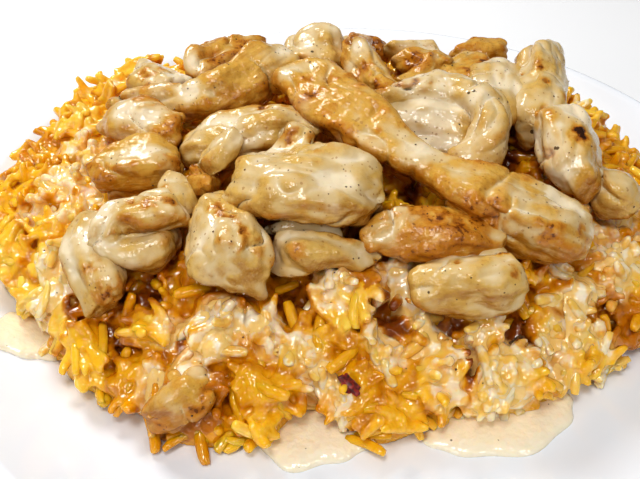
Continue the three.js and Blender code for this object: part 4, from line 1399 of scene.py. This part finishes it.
sauce_finish = cream_sauce()
every_grain = np.concatenate([packed_rice[0], loose_rice[0]])
patch_draws = np.random.default_rng(31)
for side, runs in SAUCE_RUNS.items():
    shells = [sauce_patch(*run, patch_draws) for run in runs]
    shells += [sauce_patch(*sheet, patch_draws, lift=SHEET_LIFT) for sheet in SAUCE_SHEETS[side]]
    grains, sauced_grains = coated_grains(every_grain, runs)
    points, quads = fuse(shells + sauced_grains, SAUCE_SQUARE, rounds=3)
    _, off_grain = nearest_of(points, middle_lines(grains))
    depth = rise_between(*DEEP_SAUCE, off_grain)
    cover = rise_between(0, 0.45, sauced_share(points, runs))
    mesh = new_mesh(f"sauce_over_{side}_rice", points, quads)
    serve(mesh, sauce_finish, "cream_sauce", depth=depth, cover=cover)

# Pools on the plate: x, y, half length, half depth, turn in degrees, ripple of the outline.
POOLS = {
    "left": (-80, -28, 9, 7, -20, 0.8),
    "front": (-11, -54, 13, 9, 0, 1.2),
    "right": (31, -51, 18, 8, 18, 1),
}


def sauce_pool(x, y, half_length, half_depth, turn, ripple):
    """A pool with a full rounded edge and a rippled outline: over the plate its depth goes as
    (1 - share^6)^0.5, with faint ruffles, and its underside follows the plate."""
    share = np.linspace(0.03, 1, POOL_RINGS)[:, None] ** 0.7
    bearing = np.linspace(0, FULL_TURN, POOL_SIDES, endpoint=False)
    wave = ripple * (np.sin(3 * bearing + x) + 0.5 * np.sin(7 * bearing + y))
    along = share * (half_length + wave) * np.cos(bearing)
    across = share * (half_depth + wave) * np.sin(bearing)
    tilt = np.radians(turn)
    place_x = x + along * np.cos(tilt) - across * np.sin(tilt)
    place_y = y + along * np.sin(tilt) + across * np.cos(tilt)
    floor = floor_height(np.hypot(place_x, place_y)) + 0.05
    spot = np.stack([place_x, place_y, floor], -1)
    ruffle = 0.15 * cloud(spot / 6, 41) * (1 - share**6)
    rise = POOL_DEPTH * np.sqrt(np.maximum(0.002, 1 - share**6)) + ruffle
    top = spot + rise[..., None] * np.array([0, 0, 1.0])
    return closed_shell(np.concatenate([top, spot[::-1]]), top[0].mean(0), spot[0].mean(0))


for side, pool in POOLS.items():
    mesh = new_mesh(f"sauce_pooled_{side}", *sauce_pool(*pool))
    full = np.ones(len(mesh.vertices))
    serve(mesh, sauce_finish, "cream_sauce", [f"sauce_pool_{side}"], depth=full, cover=full)


# ---- The seasoning ----
# Coarsely ground black pepper stirred into the sauce and left on the chicken and the rice, a
# flake of dried red chilli lying in the cream, and a scrap of pepper husk.

PEPPER_ON_CHICKEN = 200
PEPPER_ON_RICE = 66
PEPPER_WIDTH = 0.42
PEPPERED_SHARE = 0.6
FLAKE_SIDES = 28
FLAKE_RINGS = 6
FLAKE_LIFT = 2.2

# Flakes: x, y, half length, half width, thickness, turn in degrees.
FLAKES = {
    "chilli_flake": (-3.6, -51.4, 2.9, 1.5, 0.35, 25),
    "pepper_husk": (34.0, -40.5, 2.2, 1.1, 0.5, -10),
}


def speck_mesh(name, middle, normal, width, draws):
    """Flattened chips of eight faces, each a small octahedron with its corners shaken, lying
    with their flat side along the skin."""
    count = len(middle)
    corners = np.array([[1, 0, 0], [-1, 0, 0], [0, 1, 0], [0, -1, 0], [0, 0, 1], [0, 0, -1]])
    sides = [(0, 2), (2, 1), (1, 3), (3, 0)]
    faces = np.array([(a, b, 4) for a, b in sides] + [(b, a, 5) for a, b in sides])
    across = unit(np.cross(normal, draws.normal(size=(count, 3))))
    axes = np.stack([across, np.cross(normal, across), normal], 1)
    size = 0.5 * width * draws.uniform(0.5, 1.3, (count, 1, 1)) * (1, 1, 0.5)
    shape = (corners + draws.normal(0, 0.2, (count, 6, 3))) * size
    points = middle[:, None] + shape @ axes
    triangles = (faces + 6 * np.arange(count)[:, None, None]).reshape(-1, 3)
    return new_mesh(name, points.reshape(-1, 3), triangles=triangles)


def dried_spice(name, dark, light):
    """Dry husk, uneven from dark to light, hardly shining."""
    finish = Finish(name)
    patches = finish.noise(finish.place(), 0.7 * MM, 2.0)
    return finish.paint(
        Base_Color=finish.blend(patches.between(0.35, 0.7), dark, light),
        Roughness=0.4,
        Normal=finish.bump(patches, 0.1),
    )


def curled_flake(x, y, half_length, half_width, thickness, turn):
    """A thin scrap with ragged edges, curled up along both sides as the square of the way
    across, lying on the rice turned by an angle."""
    angle, share = heap_place(np.array([x]), np.array([y]))
    face, normal, around, down = [part[0] for part in heap_frame(angle, share)]
    lift = clump_relief(face[None])[0][0] + FLAKE_LIFT
    bearing = np.linspace(0, FULL_TURN, FLAKE_SIDES, endpoint=False)
    out = np.linspace(0.15, 1, FLAKE_RINGS)[:, None]
    ragged = 1 + 0.12 * np.sin(5 * bearing + x) + 0.08 * np.sin(9 * bearing)
    along = half_length * out * ragged * np.cos(bearing)
    across = half_width * out * ragged * np.sin(bearing)
    tilt = np.radians(turn)
    ahead = np.cos(tilt) * around + np.sin(tilt) * down
    aside = np.cross(normal, ahead)
    curl = 0.4 * across**2 + 0.1 * np.sin(2 * along)
    middle = face + normal * lift
    spot = middle + along[..., None] * ahead + across[..., None] * aside
    top = spot + (curl + thickness)[..., None] * normal
    under = (spot + curl[..., None] * normal)[::-1]
    return closed_shell(np.concatenate([top, under]), top[0].mean(0), under[-1].mean(0))


pepper_draws = np.random.default_rng(61)
rice_tops = []
for points, quads in rice_skins:
    facing = skin_normals(points, quads)
    sauced = (facing[:, 2] > UPWARD) & (sauced_share(points, every_run) > PEPPERED_SHARE)
    rice_tops.append(np.hstack([points, facing])[sauced])
rice_tops = np.concatenate(rice_tops)
chicken_tops = np.concatenate(chicken_tops)
on_chicken = chicken_tops[pepper_draws.integers(0, len(chicken_tops), PEPPER_ON_CHICKEN)]
on_rice = rice_tops[pepper_draws.integers(0, len(rice_tops), PEPPER_ON_RICE)]
landed, facing = np.hsplit(np.concatenate([on_chicken, on_rice]), 2)
pepper_mesh = speck_mesh("ground_pepper", landed + 0.1 * facing, facing, PEPPER_WIDTH, pepper_draws)
husk_finish = dried_spice("black_pepper", colour(62, 40, 22), colour(124, 88, 50))
serve(pepper_mesh, husk_finish, "cream_sauce")
flake_finish = {
    "chilli_flake": dried_spice("dried_chilli", colour(70, 10, 6), colour(150, 34, 16)),
    "pepper_husk": husk_finish,
}
for name, flake in FLAKES.items():
    serve(new_mesh(name, *curled_flake(*flake)), flake_finish[name], "cream_sauce")


# ---- The table, the light and the camera ----
# A plain pale table under soft studio lamps: one behind and to the left, one high in front,
# a broad one overhead and two lower ones at the front corners that put the glints on the
# sauce. The viewer sits at the plate and looks down at it.

CAMERA_PLACE = (-10, -192.2, 182.9)
CAMERA_TARGET = (-10, 18.2, 0)
CAMERA_LENS = 56.25
CAMERA_SENSOR = 36
ROOM_LIGHT = 0.16
TABLE_HALF = 1500.0
TABLE_GAP = 0.2

# Lamps: place, the point it faces, width and power.
LAMPS = {
    "back_lamp": ((-240, 300, 420), (0, 0, 30), 160, 1.6),
    "front_lamp": ((-70, -250, 560), (0, 0, 20), 160, 1.2),
    "overhead_lamp": ((0, 90, 700), (0, 0, 30), 420, 0.3),
    "left_lamp": ((-300, -380, 330), (0, 0, 20), 150, 0.5),
    "right_lamp": ((260, -390, 360), (0, 0, 20), 150, 0.45),
}


def pale_table():
    """Matt and almost white, with a faint cloudiness."""
    finish = Finish("pale_table")
    fleck = finish.noise(finish.place(), 90 * MM, 2.0)
    white = finish.blend(fleck, colour(244, 244, 245), colour(250, 250, 250))
    return finish.paint(Base_Color=white, Roughness=0.7)


def add_softbox(name, place, target, size, power):
    """A square lamp at a place, in millimetres, turned to face a target."""
    lamp = bpy.data.lights.new(name, "AREA")
    lamp.size = size * MM
    lamp.energy = power
    holder = bpy.data.objects.new(name, lamp)
    holder.location = Vector(place) * MM
    holder.rotation_euler = (Vector(target) - Vector(place)).to_track_quat("-Z", "Y").to_euler()
    bpy.context.scene.collection.objects.link(holder)


table_corner = np.array([[-1, -1], [1, -1], [1, 1], [-1, 1]]) * TABLE_HALF
table_points = np.concatenate([table_corner, np.full((4, 1), -TABLE_GAP)], 1)
table_mesh = new_mesh("table", table_points, np.array([[0, 1, 2, 3]]))
table_mesh.materials.append(pale_table())
table = bpy.data.objects.new("table", table_mesh)
bpy.context.scene.collection.objects.link(table)

for name, lamp in LAMPS.items():
    add_softbox(name, *lamp)

world = bpy.data.worlds.new("room")
world.use_nodes = True
background = world.node_tree.nodes["Background"]
background.inputs["Color"].default_value = (1, 1, 1, 1)
background.inputs["Strength"].default_value = ROOM_LIGHT
bpy.context.scene.world = world
bpy.context.scene.view_settings.view_transform = "Standard"
bpy.context.scene.view_settings.look = "Medium High Contrast"

camera = bpy.data.objects.new("camera", bpy.data.cameras.new("camera"))
camera.data.lens = CAMERA_LENS
camera.data.sensor_width = CAMERA_SENSOR
camera.data.clip_start = 0.01
camera.location = Vector(CAMERA_PLACE) * MM
look = Vector(CAMERA_TARGET) - Vector(CAMERA_PLACE)
camera.rotation_euler = look.to_track_quat("-Z", "Y").to_euler()
bpy.context.scene.collection.objects.link(camera)
bpy.context.scene.camera = camera
